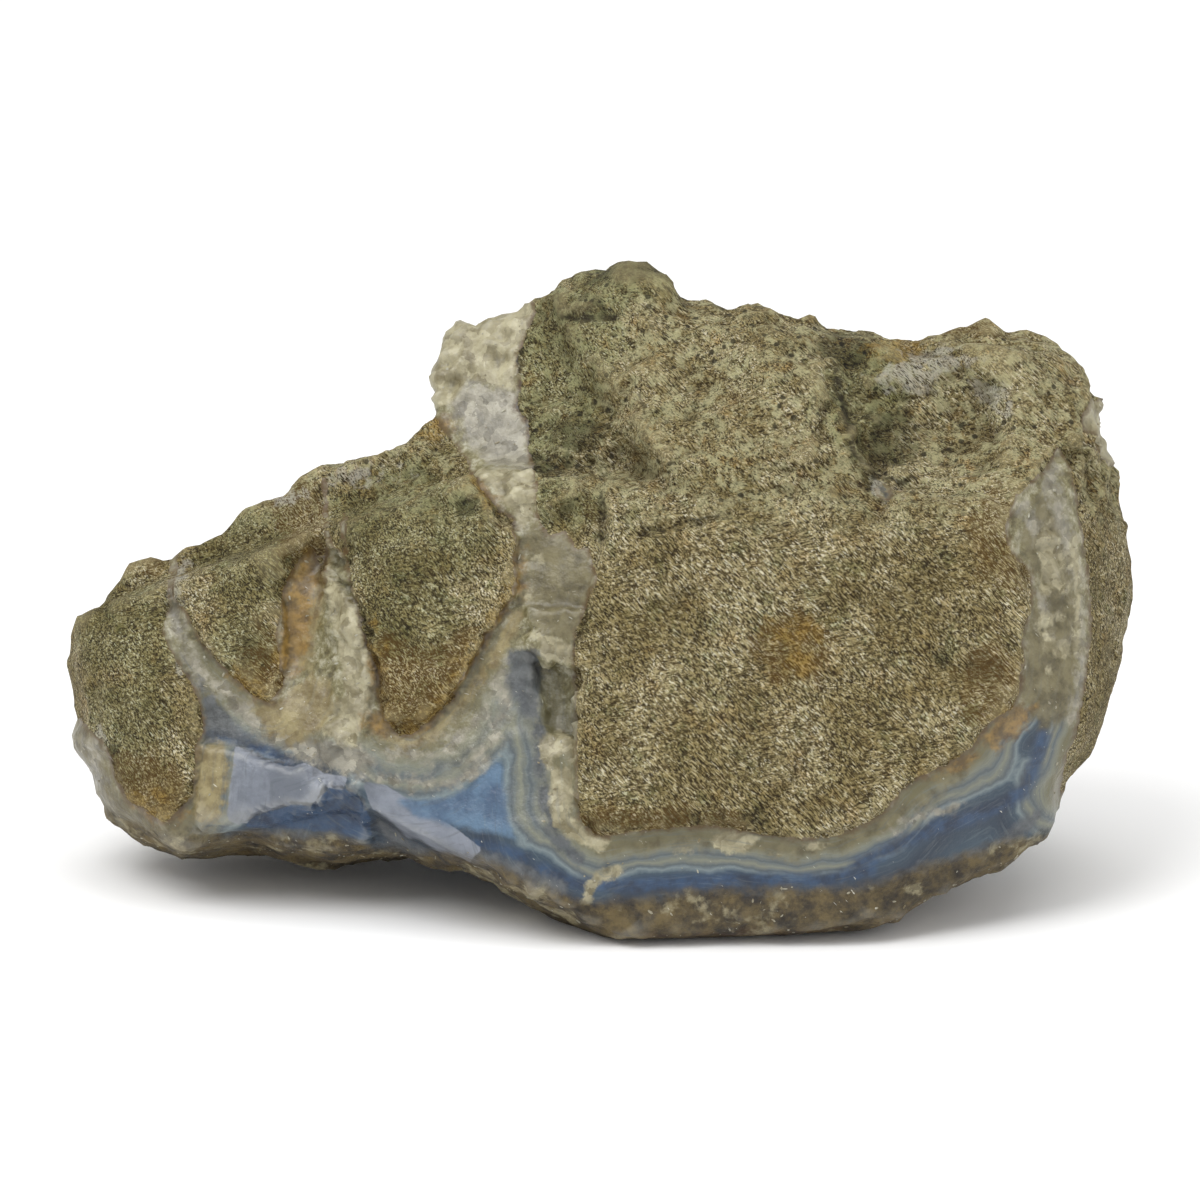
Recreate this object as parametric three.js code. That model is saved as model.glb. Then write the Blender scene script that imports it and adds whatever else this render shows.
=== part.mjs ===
// A rough piece of blue lace agate: blocks of weathered host rock and the agate vein between them.
// It formed as one stone, so it is one closed solid. Millimetres, +Z up, the broken face towards -Y.
//
// The stone is shaped in the frame of its broken face: u runs right along the face, v up it, and w out of it.
// A field that is negative inside the stone is put together from the outline of the face, the fracture planes
// in front and behind, and the hollows broken into it. A fine icosahedron is then drawn onto that field.

import * as THREE from 'three';
import { mergeVertices } from 'three/addons/utils/BufferGeometryUtils.js';

// How the stone rests: the face leans back, and the lowest stretch of the underside is worn flat.
const LEAN = THREE.MathUtils.degToRad( 15 );
const FLOOR = 6.4;
const SET_ASIDE = 0.3;
const SET_BACK = -13.6;
const FLAT_REACH = 0.45;

// How finely the surface is drawn.
const DETAIL = 19;
const CORE = new THREE.Vector3( 6, 48, 3 );
const HALF_SPAN = new THREE.Vector3( 80, 50, 38 );
const RELAX_ROUNDS = 10;
const RELAX_SHARE = 0.55;

// The outline of the broken face, clockwise from the lowest point of the left wing.
const OUTLINE = [
	[ -63.5, 11.4 ], [ -67.5, 13 ], [ -70.5, 15 ], [ -74.5, 18 ], [ -76.8, 21.5 ], [ -77.3, 24.5 ], [ -80, 28.4 ],
	[ -80.4, 30.4 ], [ -79.3, 33 ], [ -79.9, 37 ], [ -81, 41 ], [ -80.6, 45.5 ], [ -79.5, 48.7 ], [ -75.3, 50 ],
	[ -74.4, 51.8 ], [ -72.5, 53.8 ], [ -71.2, 56.2 ], [ -68, 57.4 ], [ -65.2, 56.8 ], [ -63.6, 58.6 ], [ -60, 61.2 ],
	[ -54.5, 65.7 ], [ -48.5, 67.2 ], [ -45.2, 70 ], [ -42, 72.8 ], [ -39, 71.8 ], [ -33, 73.5 ], [ -29.5, 75.8 ],
	[ -27.2, 79 ], [ -26, 83.5 ], [ -24.3, 88.8 ], [ -23, 92 ], [ -21, 93.3 ], [ -18.8, 92.7 ], [ -15, 94 ],
	[ -11.5, 95 ], [ -9, 97.2 ], [ -6.6, 97.6 ], [ -5.8, 99.2 ], [ -3, 100.2 ], [ 0, 100.5 ], [ 3, 101.9 ], [ 7, 102 ],
	[ 10, 100 ], [ 12.2, 97 ], [ 17, 96.3 ], [ 20.5, 95.2 ], [ 25, 95.4 ], [ 31, 93.8 ], [ 34.8, 91.8 ], [ 42, 91 ],
	[ 48, 89.5 ], [ 53.8, 91.2 ], [ 58.5, 93 ], [ 61.3, 91.2 ], [ 64, 91.5 ], [ 69, 89.6 ], [ 73, 86 ], [ 75.3, 81 ],
	[ 76, 75 ], [ 77.6, 72 ], [ 78.5, 66 ], [ 80, 60.4 ], [ 81, 57 ], [ 80.4, 50.5 ], [ 79, 44 ], [ 77.6, 37 ],
	[ 75.4, 31 ], [ 73.9, 27.6 ], [ 70, 23 ], [ 68.2, 17.5 ], [ 66.5, 14.7 ], [ 61.6, 12 ], [ 55.4, 8.8 ],
	[ 49, 6 ], [ 45, 3.4 ], [ 40, 2 ], [ 27, 1 ], [ 12, 0.5 ], [ -3.2, 0.4 ], [ -6.4, 2 ], [ -10.6, 5 ], [ -16, 8.3 ],
	[ -21, 10.3 ], [ -29.5, 11.6 ], [ -34, 11.2 ], [ -40, 10.5 ], [ -46.5, 11.3 ], [ -53, 12.6 ], [ -59, 11.6 ]
];

// How far forward the outline is seen, at places along it: u, v and the depth w there.
const RIM_MARKS = [
	[ -80, 40, -5 ], [ -72, 55, 1 ], [ -55, 66, 8 ], [ -40, 72, 12 ], [ -27, 79, 11 ], [ -24, 90, 0 ], [ 0, 100, 3 ],
	[ 30, 94, 6 ], [ 60, 92, 3 ], [ 76, 76, 1 ], [ 80, 55, 0 ], [ 74, 28, 5 ], [ 62, 12, 17 ], [ 40, 2, 22 ],
	[ 8, 0, 23 ], [ -9, 4, 20 ], [ -21, 10, 9 ], [ -36, 11, -2 ], [ -60, 12, -6 ], [ -77, 24, -7 ]
];

// Behind the outline the stone draws in: little in front and underneath, more at the back and the top.
const RIM_TAPER_FRONT = 0.22;
const RIM_TAPER_UNDER = 0.31;
const RIM_TAPER_BACK = 0.4;
const RIM_SOFTNESS = 4;
const RIM_ROUNDING = 2.8;

// Fracture planes, each through a point with its outward direction.
const FRONT_PLANES = [
	{ at: [ 30, 40, 31 ], out: [ -0.03, 0.06, 1 ] },
	{ at: [ 20, 65, 29 ], out: [ -0.02, 0.6, 1 ] },
	{ at: [ 30, 14, 32 ], out: [ 0.02, -0.28, 1 ] },
	{ at: [ -8, 40, 29 ], out: [ -0.3, 0.1, 1 ] },
	{ at: [ -55, 45, 16 ], out: [ -0.46, 0.16, 1 ] },
	{ at: [ -74, 32, 6.5 ], out: [ -0.95, -0.15, 1 ] },
	{ at: [ 62, 50, 30 ], out: [ 0.7, 0.05, 1 ] },
	{ at: [ 72.5, 50, 22 ], out: [ 2, 0.1, 1 ] },
	{ at: [ 58, 22, 28 ], out: [ 0.6, -0.45, 1 ] },
	{ at: [ -52, 64.3, 14 ], out: [ -0.5, 0.95, 0.9 ] },
	{ at: [ -56, 20, 16 ], out: [ -0.36, -0.15, 1 ] },
	{ at: [ 68, 84, 13 ], out: [ 1, 0.9, 1 ] }
];
const BACK_PLANES = [
	{ at: [ 26, 44, -40 ], out: [ 0.06, 0.02, -1 ] },
	{ at: [ -22, 40, -38 ], out: [ -0.3, -0.1, -1 ] },
	{ at: [ -58, 36, -29 ], out: [ -0.6, 0.25, -1 ] },
	{ at: [ 60, 44, -30 ], out: [ 0.8, -0.05, -1 ] },
	{ at: [ 18, 78, -33 ], out: [ -0.08, 0.9, -1 ] },
	{ at: [ -38, 60, -28 ], out: [ -0.2, 0.8, -1 ] },
	{ at: [ 58, 78, -20 ], out: [ 0.7, 0.95, -1 ] },
	{ at: [ 4, 20, -38 ], out: [ -0.05, -0.75, -1 ] },
	{ at: [ 52, 20, -27 ], out: [ 0.6, -0.7, -1 ] }
];
const PLANE_ROUNDING = 3;

// Hollows. Each is a corner-like bite: the space beyond every one of its sides is broken away.
const BITES = [
	// The recess left of the ridge, above the quartz shelf.
	{ rounding: 2.6, sides: [
		{ at: [ -8, 70, 20 ], out: [ 0.06, 1, 0.25 ] },
		{ at: [ 1, 80, 15 ], out: [ -0.95, -0.3, 0.5 ] },
		{ at: [ -6, 80, 12.5 ], out: [ -0.3, 0.35, 1 ] } ] },
	// The blue recess under the plate of the left wing.
	{ rounding: 0.8, sides: [
		{ at: [ -45, 20.3, 15 ], out: [ 0.16, -1, 0.25 ] },
		{ at: [ -34.2, 16, 15 ], out: [ -1, 0.05, 0.15 ] },
		{ at: [ -45, 17, 12.3 ], out: [ -0.28, -0.35, 1 ] } ] },
	// The dark step under the lip of the blue triangle.
	{ rounding: 0.8, sides: [
		{ at: [ -27, 15.2, 20 ], out: [ -0.55, -1, 0.2 ] },
		{ at: [ -33.4, 14, 15 ], out: [ 1, 0, 0.15 ] },
		{ at: [ -27, 12, 14.5 ], out: [ -0.3, -0.8, 1 ] } ] },
	// The notch behind the upper edge of the left-hand block.
	{ rounding: 1, sides: [
		{ at: [ -72, 51, 8 ], out: [ -0.4, 1, 0.2 ] },
		{ at: [ -70, 53, 2.5 ], out: [ -0.35, 0.35, 1 ] } ] },
	// The scoop behind the crest, on the back.
	{ rounding: 3, sides: [
		{ at: [ -2, 66, -36 ], out: [ 0.3, 1, -0.3 ] },
		{ at: [ -4, 80, -25 ], out: [ -0.15, 0.45, -1 ] } ] },
	// The flake off the right-hand end, on the back.
	{ rounding: 3, sides: [
		{ at: [ 62, 50, -22 ], out: [ 0.4, 1, -0.45 ] },
		{ at: [ 64, 40, -22 ], out: [ 1, 0.2, -0.9 ] } ] }
];

// Blocks and plates: each stands proud of the vein around it by a height, or lies below it, within its outline.
const PLATE_EDGE = 2;
const PLATES = [
	// The block at the far left.
	{ height: 1.7, outline: [ [ -84, 40 ], [ -80, 52 ], [ -66, 58 ], [ -65, 50 ], [ -63, 42 ], [ -60.2, 36 ],
		[ -60.5, 28 ], [ -61.5, 21 ], [ -65.5, 17 ], [ -70, 20.5 ], [ -74, 27 ], [ -84, 33 ] ] },
	// The second block.
	{ height: 1.9, outline: [ [ -64, 62 ], [ -64, 52 ], [ -60, 45 ], [ -51, 36 ], [ -49, 36 ], [ -46.8, 44 ],
		[ -48, 53 ], [ -44, 62 ], [ -44, 75 ] ] },
	// The third block.
	{ height: 3, outline: [ [ -41, 78 ], [ -40, 60 ], [ -36, 50 ], [ -33, 40 ], [ -31.5, 32 ], [ -25, 33 ],
		[ -21, 38.5 ], [ -17, 45.5 ], [ -12.7, 52 ], [ -12.6, 61 ], [ -19.5, 70 ], [ -24, 80 ] ] },
	// The white quartz rib between the second and third blocks.
	{ height: 2.2, outline: [ [ -40.8, 57 ], [ -36.6, 50 ], [ -34, 40 ], [ -35.5, 29 ], [ -41, 29 ],
		[ -39, 41 ], [ -40.8, 50 ] ] },
	// The large block, with its small shoulder piece.
	{ height: 1.8, outline: [ [ -10, 69.5 ], [ -10, 60.5 ], [ -0.3, 60 ], [ -2, 50 ], [ -3.7, 42 ],
		[ -3.3, 22 ], [ -1, 16.3 ], [ 8, 17 ], [ 18, 17.3 ], [ 30, 15.5 ], [ 41, 18.5 ], [ 48, 25 ], [ 56, 30.5 ],
		[ 62.5, 38 ], [ 64, 52 ], [ 60.3, 63 ], [ 68, 74 ], [ 84, 78 ], [ 84, 110 ], [ -10, 110 ] ] },
	// The pale plate of the left wing.
	{ height: 1.6, outline: [ [ -60, 29.5 ], [ -54, 29 ], [ -46, 26.3 ], [ -41, 24 ], [ -35, 24 ],
		[ -36, 22 ], [ -44, 20.2 ], [ -53.5, 17 ], [ -61, 16 ] ] },
	// The quartz shelf and the recess below it.
	{ height: 1.6, outline: [ [ -11, 50 ], [ -11, 44.5 ], [ -8.5, 42 ], [ -4, 41.2 ], [ -3, 50 ] ] },
	{ height: -1.8, outline: [ [ -10, 41.5 ], [ -8.5, 32 ], [ -4, 31 ], [ -3.6, 41 ] ] }
];

// Grooves worn into the face along a line: from, to, how wide and how deep.
const GROOVES = [
	{ from: [ -42, 75 ], to: [ -41.5, 58 ], width: 4.5, depth: 2.4 },
	{ from: [ -41.8, 58 ], to: [ -45.5, 43 ], width: 5, depth: 3.2 },
	{ from: [ -7, 40 ], to: [ -6, 34 ], width: 3.4, depth: 2 },
	{ from: [ 36, 88 ], to: [ 42, 66 ], width: 4, depth: 1.3 }
];

// Rounded swellings and dents: centre, radius and height, negative for a dent.
const SWELLINGS = [
	{ at: [ 3, 98.5 ], radius: 8, height: 2.4 },
	{ at: [ -18, 88 ], radius: 8, height: 2.2 },
	{ at: [ 57, 88 ], radius: 7, height: 2.2 },
	{ at: [ -36.5, 47 ], radius: 5, height: 1.4 },
	{ at: [ 30, 44 ], radius: 11, height: -0.9 },
	{ at: [ 53, 76 ], radius: 9, height: -4 },
	{ at: [ 37, 80 ], radius: 7, height: 1.6 },
	{ at: [ 24, 84 ], radius: 9, height: 1.8 },
	{ at: [ 12, 80 ], radius: 8, height: -1.6 },
	{ at: [ -30, 52 ], radius: 9, height: 1 },
	{ at: [ -71, 40 ], radius: 9, height: 1 },
	{ at: [ 12, 28 ], radius: 12, height: 0.9 }
];

// Roughness of the broken rock: the size of its scoops, coarse to fine, and their height on the smooth lower face,
// on the weathered upper slope, and behind.
const SCOOPS = [
	{ size: 24, face: 0.5, slope: 2.2, back: 4.8 },
	{ size: 11, face: 0.6, slope: 1.7, back: 2.4 },
	{ size: 5.6, face: 0.3, slope: 0.9, back: 1.1 }
];

// A repeatable number from 0 to 1 for each point of a whole-number lattice.
function latticeNumber( i, j, k ) {

	let h = Math.imul( i, 374761393 ) ^ Math.imul( j, 668265263 ) ^ Math.imul( k, 2147483647 );
	h = Math.imul( h ^ ( h >>> 13 ), 1274126177 );
	return ( ( h ^ ( h >>> 16 ) ) >>> 0 ) / 4294967295;

}

// Distance from a point to the nearest of a jittered lattice of points, less its average: scoops with sharp crests.
function scoops( x, y, z ) {

	const [ i0, j0, k0 ] = [ Math.floor( x ), Math.floor( y ), Math.floor( z ) ];
	let nearest = 9;
	for ( let i = i0 - 1; i <= i0 + 1; i ++ ) {

		for ( let j = j0 - 1; j <= j0 + 1; j ++ ) {

			for ( let k = k0 - 1; k <= k0 + 1; k ++ ) {

				const dx = i + latticeNumber( i, j, k ) - x;
				const dy = j + latticeNumber( j + 57, k, i ) - y;
				const dz = k + latticeNumber( k + 113, i, j ) - z;
				nearest = Math.min( nearest, dx * dx + dy * dy + dz * dz );

			}

		}

	}

	return Math.sqrt( nearest ) - 0.55;

}

// The larger of two numbers, rounded over where they are within reach of each other, and the smaller likewise.
function roundedMax( a, b, reach ) {

	const blend = Math.max( reach - Math.abs( a - b ), 0 ) / reach;
	return Math.max( a, b ) + blend * blend * reach / 4;

}

function roundedMin( a, b, reach ) {

	return - roundedMax( - a, - b, reach );

}

// Distance from ( u, v ) to the stretch from a to b.
function stretchDistance( u, v, a, b ) {

	const [ du, dv ] = [ b[ 0 ] - a[ 0 ], b[ 1 ] - a[ 1 ] ];
	const share = ( ( u - a[ 0 ] ) * du + ( v - a[ 1 ] ) * dv ) / ( du * du + dv * dv );
	const t = THREE.MathUtils.clamp( share, 0, 1 );
	return Math.hypot( u - a[ 0 ] - t * du, v - a[ 1 ] - t * dv );

}

// Distance to a closed outline, negative inside it.
function outlineDistance( outline, u, v ) {

	let nearest = Infinity;
	let inside = false;
	outline.forEach( ( a, n ) => {

		const b = outline[ ( n + 1 ) % outline.length ];
		nearest = Math.min( nearest, stretchDistance( u, v, a, b ) );
		const crossing = a[ 0 ] + ( b[ 0 ] - a[ 0 ] ) * ( v - a[ 1 ] ) / ( b[ 1 ] - a[ 1 ] );
		if ( ( a[ 1 ] > v ) !== ( b[ 1 ] > v ) && u < crossing ) inside = ! inside;

	} );
	return inside ? - nearest : nearest;

}

// How far forward the outline is seen near ( u, v ), blended from the marks along it.
function rimDepth( u, v ) {

	let total = 0;
	let weights = 0;
	for ( const [ a, b, depth ] of RIM_MARKS ) {

		const weight = 1 / ( ( u - a ) ** 2 + ( v - b ) ** 2 + 9 ) ** 2;
		total += weight * depth;
		weights += weight;

	}

	return total / weights;

}

// Height of a point beyond a plane.
function beyond( plane, u, v, w ) {

	const [ x, y, z ] = plane.out;
	const [ a, b, c ] = plane.at;
	return ( x * ( u - a ) + y * ( v - b ) + z * ( w - c ) ) / Math.hypot( x, y, z );

}

// What the plates, grooves and swellings add to the face at ( u, v ).
function relief( u, v ) {

	let height = 0;
	for ( const { height: rise, outline } of PLATES ) {

		const within = - outlineDistance( outline, u, v );
		height += rise * THREE.MathUtils.smoothstep( within, - PLATE_EDGE, PLATE_EDGE );

	}

	for ( const g of GROOVES ) {

		const off = stretchDistance( u, v, g.from, g.to ) / g.width;
		height -= g.depth * Math.exp( - off * off );

	}

	for ( const s of SWELLINGS ) {

		const off = Math.hypot( u - s.at[ 0 ], v - s.at[ 1 ] ) / s.radius;
		height += s.height * Math.exp( - off * off );

	}

	return height;

}

// The field of the whole stone.
function stoneField( u, v, w ) {

	const behindRim = w - rimDepth( u, v );
	const under = THREE.MathUtils.smoothstep( v, 6, 34 );
	const backTaper = THREE.MathUtils.lerp( RIM_TAPER_UNDER, RIM_TAPER_BACK, under );
	const taper = behindRim > 0 ? RIM_TAPER_FRONT : backTaper;
	const draw = Math.hypot( behindRim, RIM_SOFTNESS ) - RIM_SOFTNESS;
	const isBack = THREE.MathUtils.smoothstep( - behindRim, -2, 14 );
	const isSlope = THREE.MathUtils.smoothstep( v, 58, 70 );
	const atRim = THREE.MathUtils.smoothstep( Math.abs( behindRim ), 1, 8 );

	let rough = 0;
	for ( const { size, face, slope, back } of SCOOPS ) {

		const height = THREE.MathUtils.lerp( THREE.MathUtils.lerp( face, slope, isSlope ), back, isBack );
		rough += height * scoops( u / size + 3.7, v / size, w / size );

	}

	let front = - Infinity;
	for ( const plane of FRONT_PLANES ) {

		front = roundedMax( front, beyond( plane, u, v, w ), PLANE_ROUNDING );

	}

	front += rough - relief( u, v ) * ( 1 - isBack );
	let back = - Infinity;
	for ( const plane of BACK_PLANES ) {

		back = roundedMax( back, beyond( plane, u, v, w ), PLANE_ROUNDING );

	}

	const side = outlineDistance( OUTLINE, u, v ) + taper * draw + rough * atRim;
	let all = roundedMax( side, roundedMax( front, back + rough, 1 ), RIM_ROUNDING );
	for ( const { sides, rounding } of BITES ) {

		const bite = sides.map( ( s ) => beyond( s, u, v, w ) ).reduce( ( a, b ) => roundedMin( a, b, rounding ) );
		all = roundedMax( all, bite + rough * 0.3, rounding );

	}

	const below = FLOOR - v * Math.cos( LEAN ) - w * Math.sin( LEAN );
	return roundedMax( all, below, 0.6 );

}

// The point where a ray from the core first leaves the stone.
function leaveStone( direction ) {

	const point = new THREE.Vector3();
	const fieldAt = ( reach ) => {

		point.copy( direction ).multiplyScalar( reach ).add( CORE );
		return stoneField( point.x, point.y, point.z );

	};

	let [ near, far ] = [ 0, 0.1 ];
	while ( fieldAt( far ) < 0 ) [ near, far ] = [ far, far + 0.04 ];
	for ( let n = 0; n < 18; n ++ ) {

		const middle = ( near + far ) / 2;
		if ( fieldAt( middle ) < 0 ) near = middle;
		else far = middle;

	}

	fieldAt( near );
	return point;

}

// Moves a point straight onto the surface of the stone.
function settle( point ) {

	const step = 0.05;
	const slope = new THREE.Vector3();
	for ( let n = 0; n < 2; n ++ ) {

		const { x, y, z } = point;
		const here = stoneField( x, y, z );
		slope.set( stoneField( x + step, y, z ), stoneField( x, y + step, z ), stoneField( x, y, z + step ) );
		slope.subScalar( here ).divideScalar( step );
		const shift = THREE.MathUtils.clamp( - here / Math.max( slope.lengthSq(), 0.3 ), -1.5, 1.5 );
		point.addScaledVector( slope, shift );

	}

}

// For each vertex, the vertices that share an edge with it.
function neighboursOf( geometry ) {

	const neighbours = Array.from( { length: geometry.attributes.position.count }, () => new Set() );
	const index = geometry.index;
	for ( let n = 0; n < index.count; n += 3 ) {

		const corners = [ index.getX( n ), index.getX( n + 1 ), index.getX( n + 2 ) ];
		for ( const corner of corners ) {

			corners.filter( ( other ) => other !== corner ).forEach( ( other ) => neighbours[ corner ].add( other ) );

		}

	}

	return neighbours;

}

// Draws the icosahedron onto the stone, then evens out its triangles along the surface.
function drawStone() {

	const ball = new THREE.IcosahedronGeometry( 1, DETAIL );
	ball.deleteAttribute( 'normal' );
	ball.deleteAttribute( 'uv' );
	const geometry = mergeVertices( ball, 1e-5 );
	const position = geometry.attributes.position;

	const points = [];
	for ( let n = 0; n < position.count; n ++ ) {

		const direction = new THREE.Vector3().fromBufferAttribute( position, n ).multiply( HALF_SPAN );
		points.push( leaveStone( direction ) );

	}

	const neighbours = neighboursOf( geometry );
	for ( let round = 0; round < RELAX_ROUNDS; round ++ ) {

		const middles = neighbours.map( ( others ) => {

			const middle = new THREE.Vector3();
			others.forEach( ( other ) => middle.add( points[ other ] ) );
			return middle.divideScalar( others.size );

		} );
		points.forEach( ( point, n ) => {

			point.lerp( middles[ n ], RELAX_SHARE );
			settle( point );

		} );

	}

	points.forEach( ( point, n ) => position.setXYZ( n, point.x, point.y, point.z ) );
	return geometry;

}

// Stands the stone up as it rests, with its flat spot exactly level.
function standUp( geometry ) {

	geometry.rotateX( Math.PI / 2 - LEAN );
	geometry.translate( SET_ASIDE, SET_BACK, - FLOOR );
	const position = geometry.attributes.position;
	for ( let n = 0; n < position.count; n ++ ) {

		if ( position.getZ( n ) < FLAT_REACH ) position.setZ( n, 0 );

	}

	geometry.computeVertexNormals();
	return geometry;

}

const hostRock = new THREE.MeshStandardMaterial( {
	color: 0x8f8668,
	roughness: 0.85,
	metalness: 0,
	flatShading: true
} );
const stone = new THREE.Mesh( standUp( drawStone() ), hostRock );
stone.name = 'agate_geode';

const specimen = new THREE.Group();
specimen.add( stone );

export default specimen;
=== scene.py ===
"""The looks of one rough stone: blocks of weathered host rock with a seam of blue agate between them.

The stone is one piece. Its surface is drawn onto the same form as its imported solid, more finely, and
is then weathered. Everything on the broken face is placed in the face's own frame, in millimetres:
u runs right along the face, v runs up it, and w points out of it towards the viewer.
"""

import logging
import math
from dataclasses import dataclass, field
from enum import Enum
from typing import Any, Callable, Iterable, Sequence

import bmesh
import bpy
import numpy as np
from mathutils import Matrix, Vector


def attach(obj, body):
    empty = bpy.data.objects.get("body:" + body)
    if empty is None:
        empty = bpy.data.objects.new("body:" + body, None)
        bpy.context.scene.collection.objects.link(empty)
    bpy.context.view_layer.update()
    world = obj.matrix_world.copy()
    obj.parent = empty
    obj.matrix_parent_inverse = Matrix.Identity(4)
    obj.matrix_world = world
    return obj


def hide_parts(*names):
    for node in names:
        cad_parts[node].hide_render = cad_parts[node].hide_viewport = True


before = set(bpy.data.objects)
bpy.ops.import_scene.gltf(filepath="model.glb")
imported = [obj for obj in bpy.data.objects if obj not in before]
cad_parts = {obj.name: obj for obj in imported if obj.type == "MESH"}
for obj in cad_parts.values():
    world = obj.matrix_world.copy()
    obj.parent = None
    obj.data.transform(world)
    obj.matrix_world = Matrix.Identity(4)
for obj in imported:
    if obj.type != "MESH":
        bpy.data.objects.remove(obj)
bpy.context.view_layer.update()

LOG = logging.getLogger("stone")
MM = 0.001
NODE = "agate_geode"
QUARTZ_LIGHT: dict[str, Any] = {
    "IOR": 1.54, "Subsurface Radius": (1.0, 0.9, 0.8), "Subsurface Scale": 0.0008,
}

Pair = tuple[float, float]
Triple = tuple[float, float, float]
Colour = tuple[float, float, float]
Array = np.ndarray


def srgb(red: int, green: int, blue: int) -> Colour:
    """Turns a colour as seen on a screen, 0 to 255, into linear light."""

    def linear(value: int) -> float:
        """Undoes the screen curve for one channel."""
        share = value / 255
        return share / 12.92 if share <= 0.04045 else ((share + 0.055) / 1.055) ** 2.4

    return (linear(red), linear(green), linear(blue))


def smoothstep(value: Array, low: float, high: float) -> Array:
    """Rises smoothly from 0 at low to 1 at high."""
    share = np.clip((value - low) / (high - low), 0.0, 1.0)
    return share * share * (3.0 - 2.0 * share)


def mix(low: Array | float, high: Array | float, share: Array) -> Array:
    """Blends two values by a share from 0 to 1."""
    return low + (high - low) * share


def rounded_max(a: Array, b: Array, reach: float) -> Array:
    """The larger of two fields, rounded over where they are within reach of each other."""
    blend = np.maximum(reach - np.abs(a - b), 0.0) / reach
    return np.maximum(a, b) + blend * blend * reach / 4.0


def rounded_min(a: Array, b: Array, reach: float) -> Array:
    """The smaller of two fields, rounded like rounded_max."""
    return -rounded_max(-a, -b, reach)


def lattice_number(i: Array, j: Array, k: Array) -> Array:
    """A repeatable number from 0 to 1 for each point of a whole-number lattice."""
    mask = 0xFFFFFFFF
    mixed = ((i * 374761393) & mask) ^ ((j * 668265263) & mask) ^ ((k * 2147483647) & mask)
    mixed = ((mixed ^ (mixed >> 13)) * 1274126177) & mask
    return (mixed ^ (mixed >> 16)) / mask


def scoops(x: Array, y: Array, z: Array) -> Array:
    """Distance to the nearest of a jittered lattice of points, less its average.

    Args:
        x, y, z: where to measure, in lattice steps.

    Returns:
        Scoops with sharp crests between them, about -0.5 to 0.5.
    """
    i0, j0, k0 = (np.floor(axis).astype(np.int64) for axis in (x, y, z))
    nearest = np.full(x.shape, 9.0)
    steps = (-1, 0, 1)
    for i, j, k in ((i0 + a, j0 + b, k0 + c) for a in steps for b in steps for c in steps):
        dx = i + lattice_number(i, j, k) - x
        dy = j + lattice_number(j + 57, k, i) - y
        dz = k + lattice_number(k + 113, i, j) - z
        nearest = np.minimum(nearest, dx * dx + dy * dy + dz * dz)
    return np.sqrt(nearest) - 0.55


def drift(x: Array, y: Array, z: Array) -> Array:
    """Smooth noise from -1 to 1 over a lattice with a step of 1."""
    low = [np.floor(axis).astype(np.int64) for axis in (x, y, z)]
    share = [smoothstep(axis - base, 0.0, 1.0) for axis, base in zip((x, y, z), low)]
    total = np.zeros(x.shape)
    for a in (0, 1):
        for b in (0, 1):
            for c in (0, 1):
                weight = np.ones(x.shape)
                for part, high in zip(share, (a, b, c)):
                    weight = weight * (part if high else 1.0 - part)
                total += weight * lattice_number(low[0] + a, low[1] + b, low[2] + c)
    return 2.0 * total - 1.0


def stretch_distance(u: Array, v: Array, a: Sequence[float], b: Sequence[float]) -> Array:
    """Distance from points on the face to the stretch from a to b."""
    du, dv = b[0] - a[0], b[1] - a[1]
    share = np.clip(((u - a[0]) * du + (v - a[1]) * dv) / (du * du + dv * dv), 0.0, 1.0)
    return np.hypot(u - a[0] - share * du, v - a[1] - share * dv)


def blend_marks(marks: tuple[Triple, ...], u: Array, v: Array, blur: float) -> Array:
    """Blends values given at places on the face into one for every point.

    Args:
        marks: the places and their values.
        u, v: the points.
        blur: how softly one value gives way to the next, in square millimetres.

    Returns:
        The blended values.
    """
    total = np.zeros(u.shape)
    weights = np.zeros(u.shape)
    for a, b, value in marks:
        weight = 1.0 / ((u - a) ** 2 + (v - b) ** 2 + blur) ** 2
        total += weight * value
        weights += weight
    return total / weights


@dataclass(frozen=True)
class Patch:
    """A closed outline on the broken face."""

    outline: tuple[Pair, ...]

    def distance(self, u: Array, v: Array) -> Array:
        """Distance to the outline, negative inside it."""
        nearest = np.full(u.shape, np.inf)
        inside = np.zeros(u.shape, bool)
        for a, b in zip(self.outline, self.outline[1:] + self.outline[:1]):
            nearest = np.minimum(nearest, stretch_distance(u, v, a, b))
            if a[1] != b[1]:
                crossing = a[0] + (b[0] - a[0]) * (v - a[1]) / (b[1] - a[1])
                inside ^= ((a[1] > v) != (b[1] > v)) & (u < crossing)
        return np.where(inside, -nearest, nearest)


@dataclass(frozen=True)
class Streak:
    """A line on the broken face with a width."""

    points: tuple[Pair, ...]
    width: float

    def distance(self, u: Array, v: Array) -> Array:
        """Distance to the edge of the streak, negative inside it."""
        nearest = np.full(u.shape, np.inf)
        for a, b in zip(self.points, self.points[1:]):
            nearest = np.minimum(nearest, stretch_distance(u, v, a, b))
        return nearest - self.width / 2.0


@dataclass(frozen=True)
class Spot:
    """A round or oval spot on the broken face."""

    centre: Pair
    radii: Pair

    def distance(self, u: Array, v: Array) -> Array:
        """Distance to the edge of the spot, about right near it, negative inside."""
        off = np.hypot((u - self.centre[0]) / self.radii[0], (v - self.centre[1]) / self.radii[1])
        return (off - 1.0) * min(self.radii)


Shape = Patch | Streak | Spot


def nearest_of(shapes: Iterable[Shape], u: Array, v: Array) -> Array:
    """Distance to the nearest of several shapes, negative inside any."""
    return np.min([shape.distance(u, v) for shape in shapes], axis=0)


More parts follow.
